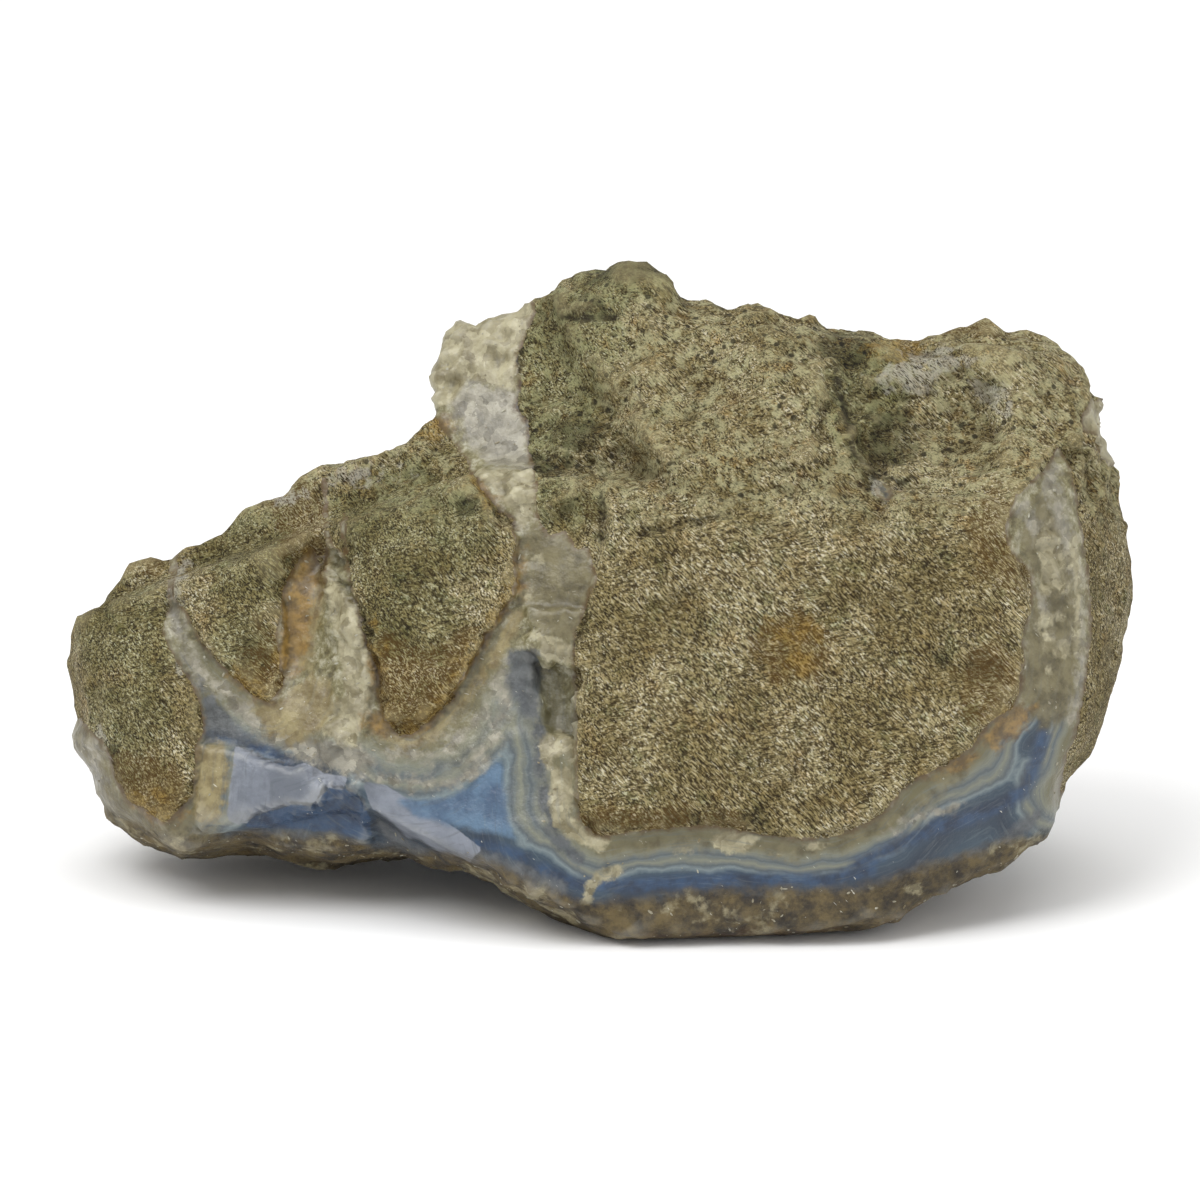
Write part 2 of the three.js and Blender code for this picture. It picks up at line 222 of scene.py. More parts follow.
@dataclass(frozen=True)
class Plane:
    """A fracture plane through a point, with its outward direction."""

    at: Triple
    out: Triple

    def beyond(self, u: Array, v: Array, w: Array) -> Array:
        """Height of points beyond the plane."""
        x, y, z = self.out
        a, b, c = self.at
        return (x * (u - a) + y * (v - b) + z * (w - c)) / math.hypot(x, y, z)


@dataclass(frozen=True)
class Bite:
    """A hollow: the space beyond every one of its planes is broken away."""

    rounding: float
    sides: tuple[Plane, ...]

    def depth(self, u: Array, v: Array, w: Array) -> Array:
        """How far points lie inside the hollow."""
        inside = self.sides[0].beyond(u, v, w)
        for side in self.sides[1:]:
            inside = rounded_min(inside, side.beyond(u, v, w), self.rounding)
        return inside


@dataclass(frozen=True)
class Plate:
    """A block or flake that stands proud of what is round it, or lies below it."""

    height: float
    shape: Shape
    edge: float = 0.5


@dataclass(frozen=True)
class Groove:
    """A worn line on the face, with its half width and depth."""

    start: Pair
    end: Pair
    width: float
    depth: float


@dataclass(frozen=True)
class Swelling:
    """A rounded rise on the face, or a dent where its height is negative."""

    centre: Pair
    radius: float
    height: float


@dataclass(frozen=True)
class Roughness:
    """Scoops of one size, and their height on the lower face, the upper slope and the back."""

    size: float
    face: float
    slope: float
    back: float


@dataclass(frozen=True)
class FaceFrame:
    """How the broken face stands in the row frame: how far it leans back, and where its zero point lies."""

    lean: float = math.radians(15.0)
    floor: float = 6.4
    aside: float = 0.3
    back: float = -13.6

    def to_face(self, points: Array) -> Array:
        """Turns points of the row frame, in metres, into u, v and w in millimetres."""
        x, y, z = (points / MM).T
        y = y - self.back
        z = z + self.floor
        sine, cosine = math.sin(self.lean), math.cos(self.lean)
        return np.stack([x - self.aside, y * sine + z * cosine, z * sine - y * cosine])

    def to_row(self, u: Array, v: Array, w: Array) -> Array:
        """Turns u, v and w in millimetres into points of the row frame, in metres."""
        sine, cosine = math.sin(self.lean), math.cos(self.lean)
        x = u + self.aside
        y = v * sine - w * cosine + self.back
        z = v * cosine + w * sine - self.floor
        return np.stack([x, y, z], axis=-1) * MM

    def direction(self, u: float, v: float, w: float) -> Vector:
        """Turns a direction in the face's frame into one in the row frame."""
        sine, cosine = math.sin(self.lean), math.cos(self.lean)
        return Vector((u, v * sine - w * cosine, v * cosine + w * sine))


FACE = FaceFrame()


LEDGE_EDGE: tuple[Pair, ...] = (
    (-53.4, 17.1), (-52, 18.9), (-49, 19.6), (-46, 20.7), (-44, 20.3), (-42.1, 20.6), (-41.2, 23.1),
    (-38, 23), (-35.5, 21.5), (-34.2, 18),
)
FOOT_EDGE: tuple[Pair, ...] = (
    (-33.7, 19.4), (-30.5, 17), (-29, 15.3), (-27, 15), (-25, 13.7), (-23, 11.5), (-20, 10.5),
)


@dataclass(frozen=True)
class StoneForm:
    """The form of the whole stone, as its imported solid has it, with crisper edges.

    The stone lies inside its outline, in front of the planes behind and behind the front ones, less the
    bites. The pairs named underside, backward, upper_slope and off_rim say where along v, or along the
    distance from the rim, the stone changes from one kind of surface to the next.
    """

    outline: Patch = Patch((
        (-63.5, 11.4), (-67.5, 13), (-70.5, 15), (-74.5, 18), (-76.8, 21.5), (-77.3, 24.5), (-80, 28.4),
        (-80.4, 30.4), (-79.3, 33), (-79.9, 37), (-81, 41), (-80.6, 45.5), (-79.5, 48.7), (-75.3, 50),
        (-74.4, 51.8), (-72.5, 53.8), (-71.2, 56.2), (-68, 57.4), (-65.2, 56.8), (-63.6, 58.6), (-60, 61.2),
        (-54.5, 65.7), (-48.5, 67.2), (-45.2, 70), (-42, 72.8), (-39, 71.8), (-33, 73.5), (-29.5, 75.8),
        (-27.2, 79), (-26, 83.5), (-24.3, 88.8), (-23, 92), (-21, 93.3), (-18.8, 92.7), (-15, 94),
        (-11.5, 95), (-9, 97.2), (-6.6, 97.6), (-5.8, 99.2), (-3, 100.2), (0, 100.5), (3, 101.9), (7, 102),
        (10, 100), (12.2, 97), (17, 96.3), (20.5, 95.2), (25, 95.4), (31, 93.8), (34.8, 91.8), (42, 91),
        (48, 89.5), (53.8, 91.2), (58.5, 93), (61.3, 91.2), (64, 91.5), (69, 89.6), (73, 86), (75.3, 81),
        (76, 75), (77.6, 72), (78.5, 66), (80, 60.4), (81, 57), (80.4, 50.5), (79, 44), (77.6, 37),
        (75.4, 31), (73.9, 27.6), (70, 23), (68.2, 17.5), (66.5, 14.7), (61.6, 12), (55.4, 8.8),
        (49, 6), (45, 3.4), (40, 2), (27, 1), (12, 0.5), (-3.2, 0.4), (-6.4, 2), (-10.6, 5), (-16, 8.3),
        (-21, 10.3), (-29.5, 11.6), (-34, 11.2), (-40, 10.5), (-46.5, 11.3), (-53, 12.6), (-59, 11.6),
    ))
    rim_marks: tuple[Triple, ...] = (
        (-80, 40, -5), (-72, 55, 1), (-55, 66, 8), (-40, 72, 12), (-27, 79, 11), (-24, 90, 0), (0, 100, 3),
        (30, 94, 6), (60, 92, 3), (76, 76, 1), (80, 55, 0), (74, 28, 5), (62, 12, 17), (40, 2, 22),
        (8, 0, 23), (-9, 4, 20), (-21, 10, 9), (-36, 11, -2), (-60, 12, -6), (-77, 24, -7),
    )
    rim_blur: float = 9.0
    taper_front: float = 0.22
    taper_under: float = 0.31
    taper_back: float = 0.4
    rim_softness: float = 4.0
    rim_rounding: float = 2.0
    plane_rounding: float = 2.4
    front: tuple[Plane, ...] = (
        Plane((30, 40, 31), (-0.03, 0.06, 1)),
        Plane((20, 65, 29), (-0.02, 0.6, 1)),
        Plane((30, 14, 32), (0.02, -0.28, 1)),
        Plane((-8, 40, 29), (-0.3, 0.1, 1)),
        Plane((-55, 45, 16), (-0.46, 0.16, 1)),
        Plane((-74, 32, 6.5), (-0.95, -0.15, 1)),
        Plane((62, 50, 30), (0.7, 0.05, 1)),
        Plane((72.5, 50, 22), (2, 0.1, 1)),
        Plane((58, 22, 28), (0.6, -0.45, 1)),
        Plane((-52, 64.3, 14), (-0.5, 0.95, 0.9)),
        Plane((-56, 20, 16), (-0.36, -0.15, 1)),
        Plane((68, 84, 13), (1, 0.9, 1)),
    )
    behind: tuple[Plane, ...] = (
        Plane((26, 44, -40), (0.06, 0.02, -1)),
        Plane((-22, 40, -38), (-0.3, -0.1, -1)),
        Plane((-58, 36, -29), (-0.6, 0.25, -1)),
        Plane((60, 44, -30), (0.8, -0.05, -1)),
        Plane((18, 78, -33), (-0.08, 0.9, -1)),
        Plane((-38, 60, -28), (-0.2, 0.8, -1)),
        Plane((58, 78, -20), (0.7, 0.95, -1)),
        Plane((4, 20, -38), (-0.05, -0.75, -1)),
        Plane((52, 20, -27), (0.6, -0.7, -1)),
    )
    bites: tuple[Bite, ...] = (
        Bite(2.0, (
            Plane((-8, 70, 20), (0.06, 1, 0.25)),
            Plane((1, 80, 15), (-0.95, -0.3, 0.5)),
            Plane((-6, 80, 12.5), (-0.3, 0.35, 1)))),
        Bite(0.6, (
            Plane((-27, 15.2, 20), (-0.55, -1, 0.2)),
            Plane((-33.4, 14, 15), (1, 0, 0.15)),
            Plane((-27, 12, 14.5), (-0.3, -0.8, 1)))),
        Bite(1.0, (
            Plane((-72, 51, 8), (-0.4, 1, 0.2)),
            Plane((-70, 53, 2.5), (-0.35, 0.35, 1)))),
        Bite(3.0, (
            Plane((-2, 66, -36), (0.3, 1, -0.3)),
            Plane((-4, 80, -25), (-0.15, 0.45, -1)))),
        Bite(3.0, (
            Plane((62, 50, -22), (0.4, 1, -0.45)),
            Plane((64, 40, -22), (1, 0.2, -0.9)))),
    )
    plates: tuple[Plate, ...] = (
        Plate(1.3, Patch((
            (-84, 40), (-80, 52), (-66, 58), (-65, 50), (-63, 42), (-60.2, 36), (-60.5, 28), (-61.5, 21),
            (-65.5, 17), (-70, 20.5), (-74, 27), (-84, 33)))),
        Plate(1.3, Patch((
            (-64, 62), (-64, 52), (-60, 45), (-51, 36), (-49, 36), (-46.8, 44), (-48, 53), (-44, 62),
            (-44, 75)))),
        Plate(2.2, Patch((
            (-41, 78), (-40, 60), (-36, 50), (-33, 40), (-31.5, 32), (-25, 33), (-21, 38.5), (-17, 45.5),
            (-12.7, 52), (-12.6, 61), (-19.5, 70), (-24, 80)))),
        Plate(1.6, Patch((
            (-40.8, 57), (-36.6, 50), (-34, 40), (-35.5, 29), (-41, 29), (-39, 41), (-40.8, 50)))),
        Plate(1.2, Patch((
            (0.2, 69.5), (-0.1, 60), (-2, 50), (-3.7, 42), (-3.3, 22), (-1, 16.3), (8, 17),
            (18, 17.3), (30, 15.5), (41, 18.5), (48, 25), (56, 30.5), (62.5, 38), (64, 52), (60.3, 63),
            (68, 74), (84, 78), (84, 110), (-10, 110)))),
        Plate(1.6, Patch((
            (-60, 29.5), (-54, 29), (-46, 26.3), (-41, 24), (-35, 24), (-36, 22), (-44, 20.2), (-53.5, 17),
            (-61, 16)))),
        Plate(-1.2, Patch((*LEDGE_EDGE, (-33.7, 9), (-52, 9))), 0.35),
        Plate(-1.0, Patch((*FOOT_EDGE, (-20, 6), (-33.6, 6))), 0.35),
        Plate(1.1, Patch((
            (4, 92), (1, 86), (1.4, 79), (-2.6, 74.6), (-8, 71.6), (0, 70.4), (30, 68), (34, 80), (33, 90),
            (18, 95))), 0.8),
        Plate(-1.1, Patch((
            (35.4, 86), (37, 79), (38.6, 73), (41, 70), (43, 66.4), (52, 66), (60, 72), (58, 84),
            (46, 88))), 0.6),
        Plate(1.6, Patch(((-11, 50), (-11, 44.5), (-8.5, 42), (-4, 41.2), (-3, 50)))),
        Plate(-1.8, Patch(((-10, 41.5), (-8.5, 32), (-4, 31), (-3.6, 41)))),
    )
    grooves: tuple[Groove, ...] = (
        Groove((-42, 75), (-41.5, 58), 4.5, 2.4),
        Groove((-41.8, 58), (-45.5, 43), 5, 2.6),
        Groove((-7, 40), (-6, 34), 3.4, 2),
        Groove((36, 88), (42, 66), 4, 1.3),
        Groove((-5.5, 93.6), (1.5, 93.2), 0.7, 1.4),
        Groove((0.2, 69.5), (0, 60), 0.5, 1.0),
        Groove((6, 60.7), (14, 62.6), 0.6, 0.7),
        Groove((14, 62.6), (23, 64.6), 0.6, 0.6),
        Groove((5, 84), (7.5, 76), 0.6, 0.8),
        Groove((24, 20), (30, 27), 0.6, 0.5),
    )
    swellings: tuple[Swelling, ...] = (
        Swelling((3, 98.5), 8, 2.4),
        Swelling((-18, 88), 8, 2.2),
        Swelling((57, 88), 7, 2.2),
        Swelling((-36.5, 47), 5, 1.4),
        Swelling((30, 44), 11, -0.9),
        Swelling((53, 76), 9, -4),
        Swelling((37, 80), 7, 1.6),
        Swelling((24, 84), 9, 1.8),
        Swelling((12, 80), 8, -1.6),
        Swelling((-30, 52), 9, 1),
        Swelling((-71, 40), 9, 1),
        Swelling((12, 28), 12, 0.9),
    )
    roughness: tuple[Roughness, ...] = (
        Roughness(24, 0.5, 2.2, 4.8),
        Roughness(11, 0.6, 1.7, 2.4),
        Roughness(5.6, 0.3, 0.9, 1.1),
    )
    raggedness: tuple[Pair, ...] = ((2.6, 0.7), (0.9, 0.3))
    underside: Pair = (6.0, 34.0)
    backward: Pair = (-2.0, 14.0)
    upper_slope: Pair = (58.0, 70.0)
    off_rim: Pair = (1.0, 8.0)
    side_rounding: float = 1.0
    floor_rounding: float = 0.6
    bite_roughness: float = 0.3

    def rim_depth(self, u: Array, v: Array) -> Array:
        """How far forward the outline is seen near points of the face."""
        return blend_marks(self.rim_marks, u, v, self.rim_blur)

    def relief(self, u: Array, v: Array) -> Array:
        """What plates, grooves and swellings add to the face."""
        ragged_u, ragged_v = u, v
        for size, reach in self.raggedness:
            ragged_u = ragged_u + reach * drift(u / size, v / size, u * 0)
            ragged_v = ragged_v + reach * drift(u / size, v / size, u * 0 + 9)
        height = np.zeros(u.shape)
        for plate in self.plates:
            within = -plate.shape.distance(ragged_u, ragged_v)
            height += plate.height * smoothstep(within, -plate.edge, plate.edge)
        for groove in self.grooves:
            off = stretch_distance(ragged_u, ragged_v, groove.start, groove.end) / groove.width
            height -= groove.depth * np.exp(-off * off)
        for rise in self.swellings:
            off = np.hypot(u - rise.centre[0], v - rise.centre[1]) / rise.radius
            height += rise.height * np.exp(-off * off)
        return height

    def at(self, u: Array, v: Array, w: Array) -> Array:
        """The field of the stone: negative inside it, about the distance to its surface."""
        behind_rim = w - self.rim_depth(u, v)
        back_taper = mix(self.taper_under, self.taper_back, smoothstep(v, *self.underside))
        taper = np.where(behind_rim > 0, self.taper_front, back_taper)
        draw = np.hypot(behind_rim, self.rim_softness) - self.rim_softness
        is_back = smoothstep(-behind_rim, *self.backward)
        is_slope = smoothstep(v, *self.upper_slope)
        at_rim = smoothstep(np.abs(behind_rim), *self.off_rim)
        rough = np.zeros(u.shape)
        for layer in self.roughness:
            height = mix(mix(layer.face, layer.slope, is_slope), layer.back, is_back)
            rough += height * scoops(u / layer.size + 3.7, v / layer.size, w / layer.size)
        front = self._hull(self.front, u, v, w) + rough - self.relief(u, v) * (1.0 - is_back)
        back = self._hull(self.behind, u, v, w) + rough
        side = self.outline.distance(u, v) + taper * draw + rough * at_rim
        whole = rounded_max(side, rounded_max(front, back, self.side_rounding), self.rim_rounding)
        for bite in self.bites:
            hollow = bite.depth(u, v, w) + rough * self.bite_roughness
            whole = rounded_max(whole, hollow, bite.rounding)
        below = FACE.floor - v * math.cos(FACE.lean) - w * math.sin(FACE.lean)
        return rounded_max(whole, below, self.floor_rounding)

    def _hull(self, planes: tuple[Plane, ...], u: Array, v: Array, w: Array) -> Array:
        """The rounded hull of several fracture planes."""
        outermost = planes[0].beyond(u, v, w)
        for plane in planes[1:]:
            outermost = rounded_max(outermost, plane.beyond(u, v, w), self.plane_rounding)
        return outermost


@dataclass(frozen=True)
class FaceMap:
    """What each stretch of the broken face is made of, as outlines on the face; a few outlines place painted
    light instead: the glow in the blue agate and shadow lines at ledges.
    """

    rock: tuple[Shape, ...] = (
        Patch((
            (-90, 36), (-79, 33), (-77, 31), (-75, 30), (-74, 28), (-73, 24), (-71, 20.5), (-67.5, 18.5),
            (-65, 17.3), (-63, 19.5), (-61, 22), (-60.7, 29), (-59.5, 31.5), (-59.7, 34), (-61, 38),
            (-63, 41), (-66, 46), (-65, 50), (-65.4, 62), (-90, 62))),
        Patch((
            (-64, 64), (-64, 52), (-62, 49), (-60, 45), (-57, 41.5), (-54, 38.5), (-51, 36), (-49.5, 35.6),
            (-47.5, 38), (-46.5, 42), (-43.6, 46), (-42, 52), (-41.2, 58), (-41.6, 80), (-64, 80))),
        Patch((
            (-41.4, 84), (-40.6, 60), (-38, 57), (-36, 50), (-35, 45), (-33, 40), (-33, 36), (-32, 33),
            (-30, 31), (-28, 31), (-26, 32.5), (-24, 34), (-22, 36), (-21, 39), (-19, 42), (-17.5, 45),
            (-15.5, 48), (-13, 51.5), (-12.5, 60), (-13, 63), (-15.5, 65), (-18, 68), (-19.5, 70),
            (-20, 72), (-24, 77), (-28, 84))),
        Patch((
            (-9, 110), (-10, 94), (-11, 91), (-12.5, 88), (-12, 84), (-12.5, 80), (-11, 78), (-10.5, 73),
            (-9.5, 70), (-9.2, 63), (-7.4, 60.6), (-5.4, 61.6), (-3.6, 58.6), (-1.6, 58.8), (-0.5, 54),
            (-2, 50), (-3.5, 46), (-3.8, 42), (-3.5, 35),
            (-3.3, 28), (-3.3, 22), (-3, 18.5), (-1, 16.3), (0.5, 15.8), (3, 16.5), (8, 17), (14, 17.5),
            (18, 17.3), (22, 16.5), (30, 15.5), (35, 16), (41, 18.5), (45, 23), (48, 25), (52, 27),
            (55, 29), (58, 33), (61, 35), (62.5, 38), (62.7, 42), (62.5, 46), (64, 50), (64, 55),
            (61, 58), (60, 62), (62, 67), (66, 70), (68.5, 74), (70, 72), (71.5, 66), (72.5, 60),
            (73, 55), (73.5, 48), (73, 42), (72, 36), (71, 31), (69.5, 27), (69.3, 22), (95, 22),
            (95, 110))),
    )
    pockets: tuple[Shape, ...] = (
        Patch((
            (73.4, 81), (72.6, 77.4), (74.2, 74.6), (73.8, 72.8), (76.4, 71.6), (79, 70.4), (80, 74),
            (79, 82))),
        Spot((42.4, 67.2), (1.5, 1.2)),
        Spot((-38.4, 62), (0.5, 3)),
        Patch((
            (-48.6, 46), (-47.4, 52), (-45, 57.6), (-43.4, 59), (-41.8, 55), (-41.8, 50), (-43, 45),
            (-45, 40.4), (-46.6, 38), (-48, 41))),
    )
    crust_edge: tuple[Pair, ...] = (
        (-100, 22), (-77, 21), (-73, 18), (-66, 16), (-60, 15), (-52, 16), (-40, 15.5), (-34, 14),
        (-28, 13), (-22, 13), (-14, 11), (-8, 8), (-2, 6), (5, 6.5), (15, 8), (27, 8), (38, 8),
        (45, 10.5), (50, 12), (56, 13.5), (62, 15), (72, 18), (100, 24),
    )
    cream: tuple[Shape, ...] = (
        Patch(((64.6, 60), (67.4, 63.4), (69.6, 57), (68.8, 52), (66, 54))),
        Spot((66, 47.4), (1.2, 1.7)),
        Spot((69, 43.6), (1.5, 1.1)),
        Streak(((70.8, 60), (71.4, 52), (71, 44)), 0.9),
        Patch((
            (-41, 57), (-38.6, 52.5), (-36.5, 50.5), (-35.4, 48), (-34.8, 44), (-33.4, 40), (-34, 35.5),
            (-35.6, 33), (-36, 28.5), (-38.5, 29.5), (-41.3, 31), (-40.8, 34), (-38.2, 36.5),
            (-38.5, 40), (-39, 45), (-40.4, 49), (-41.4, 52))),
        Patch((
            (-27.5, 78.6), (-26.5, 84), (-24, 91), (-21, 94), (-12, 95.6), (-6, 98), (-8.6, 95.4),
            (-10.4, 93.6), (-11.6, 90), (-12.8, 87), (-12.6, 82.5), (-16, 83.4), (-20, 84.6),
            (-22.6, 80.6))),
        Patch((
            (-19.4, 70.4), (-14.5, 70.8), (-9, 69.7), (-9.4, 66.5), (-11, 62), (-12.4, 62), (-13.4, 64.6),
            (-16, 67.6))),
        Patch(((-11, 46.3), (-8.6, 44.6), (-8.4, 42.2), (-4.2, 41), (-3.8, 44), (-7, 45.6))),
        Patch((
            (-9.2, 30.4), (-6, 31.6), (-3.4, 30.6), (-3.4, 26.6), (-4.4, 26.2), (-5, 28.2), (-7, 28),
            (-7.6, 25.4), (-8.8, 27.6))),
        Patch((
            (-7.2, 25.6), (-4.6, 26), (-3.6, 22), (-4.6, 19.4), (-1.4, 16.6), (1.6, 15.2), (0, 13.6),
            (-4, 15.4), (-6.8, 17.6), (-7.6, 21.4))),
        Patch(((17, 16.4), (21, 17), (24, 15.6), (22, 13.6), (18.6, 13.4), (16.6, 14.6))),
        Patch(((72, 82), (71, 70), (80, 68), (82, 82))),
        Streak(((-2.2, 5.4), (-1.7, 8), (-0.4, 10), (2.6, 11)), 1.7),
        Spot((12, 13.8), (1.1, 0.5)),
        Spot((31.4, 14.6), (1.3, 0.5)),
        Spot((26.5, 13), (0.7, 0.4)),
        Spot((67.6, 56.6), (1.0, 1.4)),
        Spot((69.6, 52.4), (0.8, 1.2)),
        Spot((66.2, 52.8), (0.9, 0.8)),
        Spot((68.4, 48.4), (0.7, 1.0)),
        Spot((66.4, 44.6), (0.8, 0.7)),
        Spot((70.6, 57.6), (0.8, 1.8)),
        Spot((67, 40.4), (0.5, 0.6)),
        Spot((-10.6, 51.6), (0.7, 1.2)),
        Spot((-9.4, 57), (0.8, 1.0)),
    )
    pale: tuple[Shape, ...] = (
        Patch((
            (-54.6, 29.6), (-54, 29), (-51.5, 28), (-47, 26), (-44, 26.6), (-41, 25), (-37.6, 24.6),
            (-38.4, 22.6), (-41, 23), (-42, 20.5), (-44, 20.2), (-46, 20.6), (-49, 19.5), (-52, 18.8),
            (-53.2, 17.2), (-56, 18))),
        Patch((
            (-35.6, 24), (-32, 23.4), (-29, 21.6), (-26, 19.6), (-22, 17.4), (-17.6, 14), (-20.4, 10.7),
            (-23, 11.7), (-25, 13.8), (-27, 15.1), (-29, 15.5), (-30.6, 17.2), (-34, 19.6))),
    )
    recess: tuple[Shape, ...] = (
        Patch((
            (-53.4, 16.8), (-52, 18.7), (-49, 19.4), (-46, 20.5), (-44, 20.1), (-42.2, 20.4), (-41.4, 22.9),
            (-38, 22.9), (-35.6, 21.4), (-34.4, 18), (-34, 14.6), (-40, 16), (-46, 16.6))),
    )
    deep: tuple[Shape, ...] = (
        Streak(((-24, 14.6), (-16, 14.4), (-11, 12.6)), 1.6),
        Streak(((-9, 11), (-4, 9), (4, 8.6), (20, 9.6), (34, 9.4), (40, 11)), 2.0),
        Streak(((38, 11.5), (45, 15), (50, 17.3), (56, 19), (60, 20.5), (63, 22.4)), 2.2),
        Streak(((63, 22), (64.6, 26), (66, 30.6)), 2.0),
        Streak(((-59, 31), (-55, 30.4), (-50, 28.4), (-46.4, 26.6)), 1.8),
    )
    # Painted light: where light seen through the translucent agate is painted in as a lighter blue.
    glow: tuple[Shape, ...] = (
        Patch((
            (-15, 27.6), (-17, 25.2), (-19, 23.4), (-22, 21.8), (-26, 21.2), (-30, 21.2), (-28, 19),
            (-22, 17.4), (-16, 16.4), (-12.6, 15.6), (-13.8, 19), (-14.2, 22))),
    )
    frost: tuple[Shape, ...] = (
        Streak(((-64.4, 53), (-63.4, 47), (-61.4, 42), (-59, 39), (-55.6, 35.6), (-52, 32.4)), 1.5),
        Patch((
            (-57, 38.4), (-54, 36.6), (-51, 34), (-47, 31), (-42, 29.4), (-39, 28), (-39.4, 25.6), (-44, 27),
            (-49, 29), (-52, 31.4), (-55.4, 34.4))),
        Patch(((-44, 30), (-36, 29.6), (-33, 27), (-35, 24.6), (-41, 25.4), (-46, 27.4))),
        Patch(((-22.6, 80.6), (-20, 84.4), (-12.6, 82.4), (-11, 78), (-10.4, 73), (-9.6, 70.4), (-17, 71))),
        Streak(((-20, 25.6), (-16, 30), (-14.4, 34), (-13.6, 40)), 0.9),
        Streak(((-33, 24.4), (-26, 23.6), (-21, 24), (-17, 27)), 0.9),
        Streak(((-31, 28), (-24, 28), (-20, 31), (-16, 37), (-14, 42)), 0.7),
        Streak(((42, 16.6), (47, 18.6), (53, 20.4)), 0.5),
        Streak(((67.4, 72), (67.6, 67), (69.4, 61), (71, 55)), 1.9),
        Streak(((62.6, 65), (65, 61), (67.4, 58)), 1.1),
        Streak(((71.8, 52), (72, 42), (70.6, 33)), 0.9),
        Streak(((64.4, 54), (66, 50), (66, 46)), 0.8),
        Streak(((-76.6, 29), (-76, 24)), 1.2),
    )
    # Real cracks along the grooves and the quartz border, and painted shadow lines where the face steps
    # down: the ledge at v 70, the line above the left pale plate and the top edges of the two recesses.
    cracks_and_shadow_lines: tuple[Shape, ...] = (
        Streak(((-5.5, 93.6), (-1, 93.2), (2.6, 93.5)), 1.0),
        Streak(((0.2, 69.5), (0, 60)), 0.35),
        Streak(((6, 60.7), (10, 61.5), (14, 63), (22, 64.5)), 0.3),
        Streak(((35, 86), (36.5, 79), (38, 73), (40.5, 70), (42.6, 66.6)), 0.8),
        Streak(((5, 84), (6.5, 80), (7, 76)), 0.4),
        Streak(((-12.6, 88), (-12, 84), (-12.5, 80), (-11, 78), (-10.5, 73), (-9.5, 70)), 0.4),
        Streak(((-9, 91), (-5, 85), (-2, 82)), 0.3),
        Streak(((24, 20), (27, 24), (30, 27)), 0.3),
        # Painted shadow under the ledge at v 70.
        Streak(((-3, 70), (-9, 70.5)), 0.5),
        Streak(((41, 70), (45, 68.6), (47.4, 69.4)), 0.5),
        # Painted shadow line above the left pale plate.
        Streak(((-60, 29.6), (-57, 30), (-54, 29), (-51.5, 28), (-49.5, 27), (-46, 26.3)), 0.5),
        # Painted shadow lines along the top edges of the two recesses.
        Streak((*LEDGE_EDGE, (-33.7, 13)), 0.5),
        Streak(FOOT_EDGE, 0.4),
    )
    slate: tuple[Shape, ...] = (
        Patch((
            (-60.4, 39.4), (-58.6, 37.6), (-56, 34.4), (-53.5, 31.4), (-50.6, 29.2), (-54, 29.8),
            (-58.8, 30.8), (-59.6, 34))),
        Patch(((-13.4, 43.6), (-9, 43.4), (-8.6, 38), (-9, 33.4), (-11.4, 33), (-12.4, 36), (-14, 38.6))),
        Streak(((-9, 32), (-8.8, 26), (-8, 20), (-6.4, 15.6), (-3, 12.6)), 1.8),
        Patch(((-53, 16), (-44, 16.6), (-35, 14.8), (-34.4, 12.6), (-44, 13), (-52, 14))),
        Patch(((-33.6, 19), (-30.8, 16.8), (-28, 14.8), (-25, 13.4), (-23.2, 11.2), (-26, 11.2), (-32, 14))),
        Streak(((-18, 12.8), (-11, 10.6), (-6, 8)), 2.2),
        Streak(((36, 6.4), (42, 8), (48, 10.6), (54, 12.4), (60, 14.4), (65, 18.6)), 2.0),
    )
    tan: tuple[Shape, ...] = (
        Streak(((-43, 59), (-43.6, 52), (-45, 45.6), (-45.6, 42)), 4.6),
        Patch((
            (-52.4, 36), (-49.4, 35.4), (-46, 38), (-43, 40), (-40, 38), (-39.6, 34), (-42, 30.6),
            (-46, 29.4), (-50, 31))),
        Patch(((-61, 29), (-57, 29.6), (-55.4, 28), (-55.8, 22), (-57.4, 17.6), (-61, 17.4), (-61.4, 22))),
        Streak(((-33, 31.6), (-29, 29.4), (-25, 31), (-21, 36), (-16, 42), (-12, 49)), 1.6),
    )
    moss: tuple[Shape, ...] = (
        Patch(((-11, 62), (-1.8, 60), (0, 54), (-1.4, 50), (-2.6, 45), (-9, 45), (-11.6, 52))),
        Streak(((0, 14), (10, 15), (20, 15), (30, 13.6), (38, 15.6), (46, 20.4), (54, 25.4)), 1.5),
        Patch(((62, 37), (63, 46), (65.4, 54), (62, 60), (66, 68), (70, 60), (72, 48), (71, 34), (66, 31))),
        Streak(((-31, 29), (-26, 29.6), (-22, 33), (-18, 39), (-15, 45)), 1.2),
        Streak(((-78, 30), (-75, 22), (-68, 15.6), (-60, 15)), 4.6),
    )
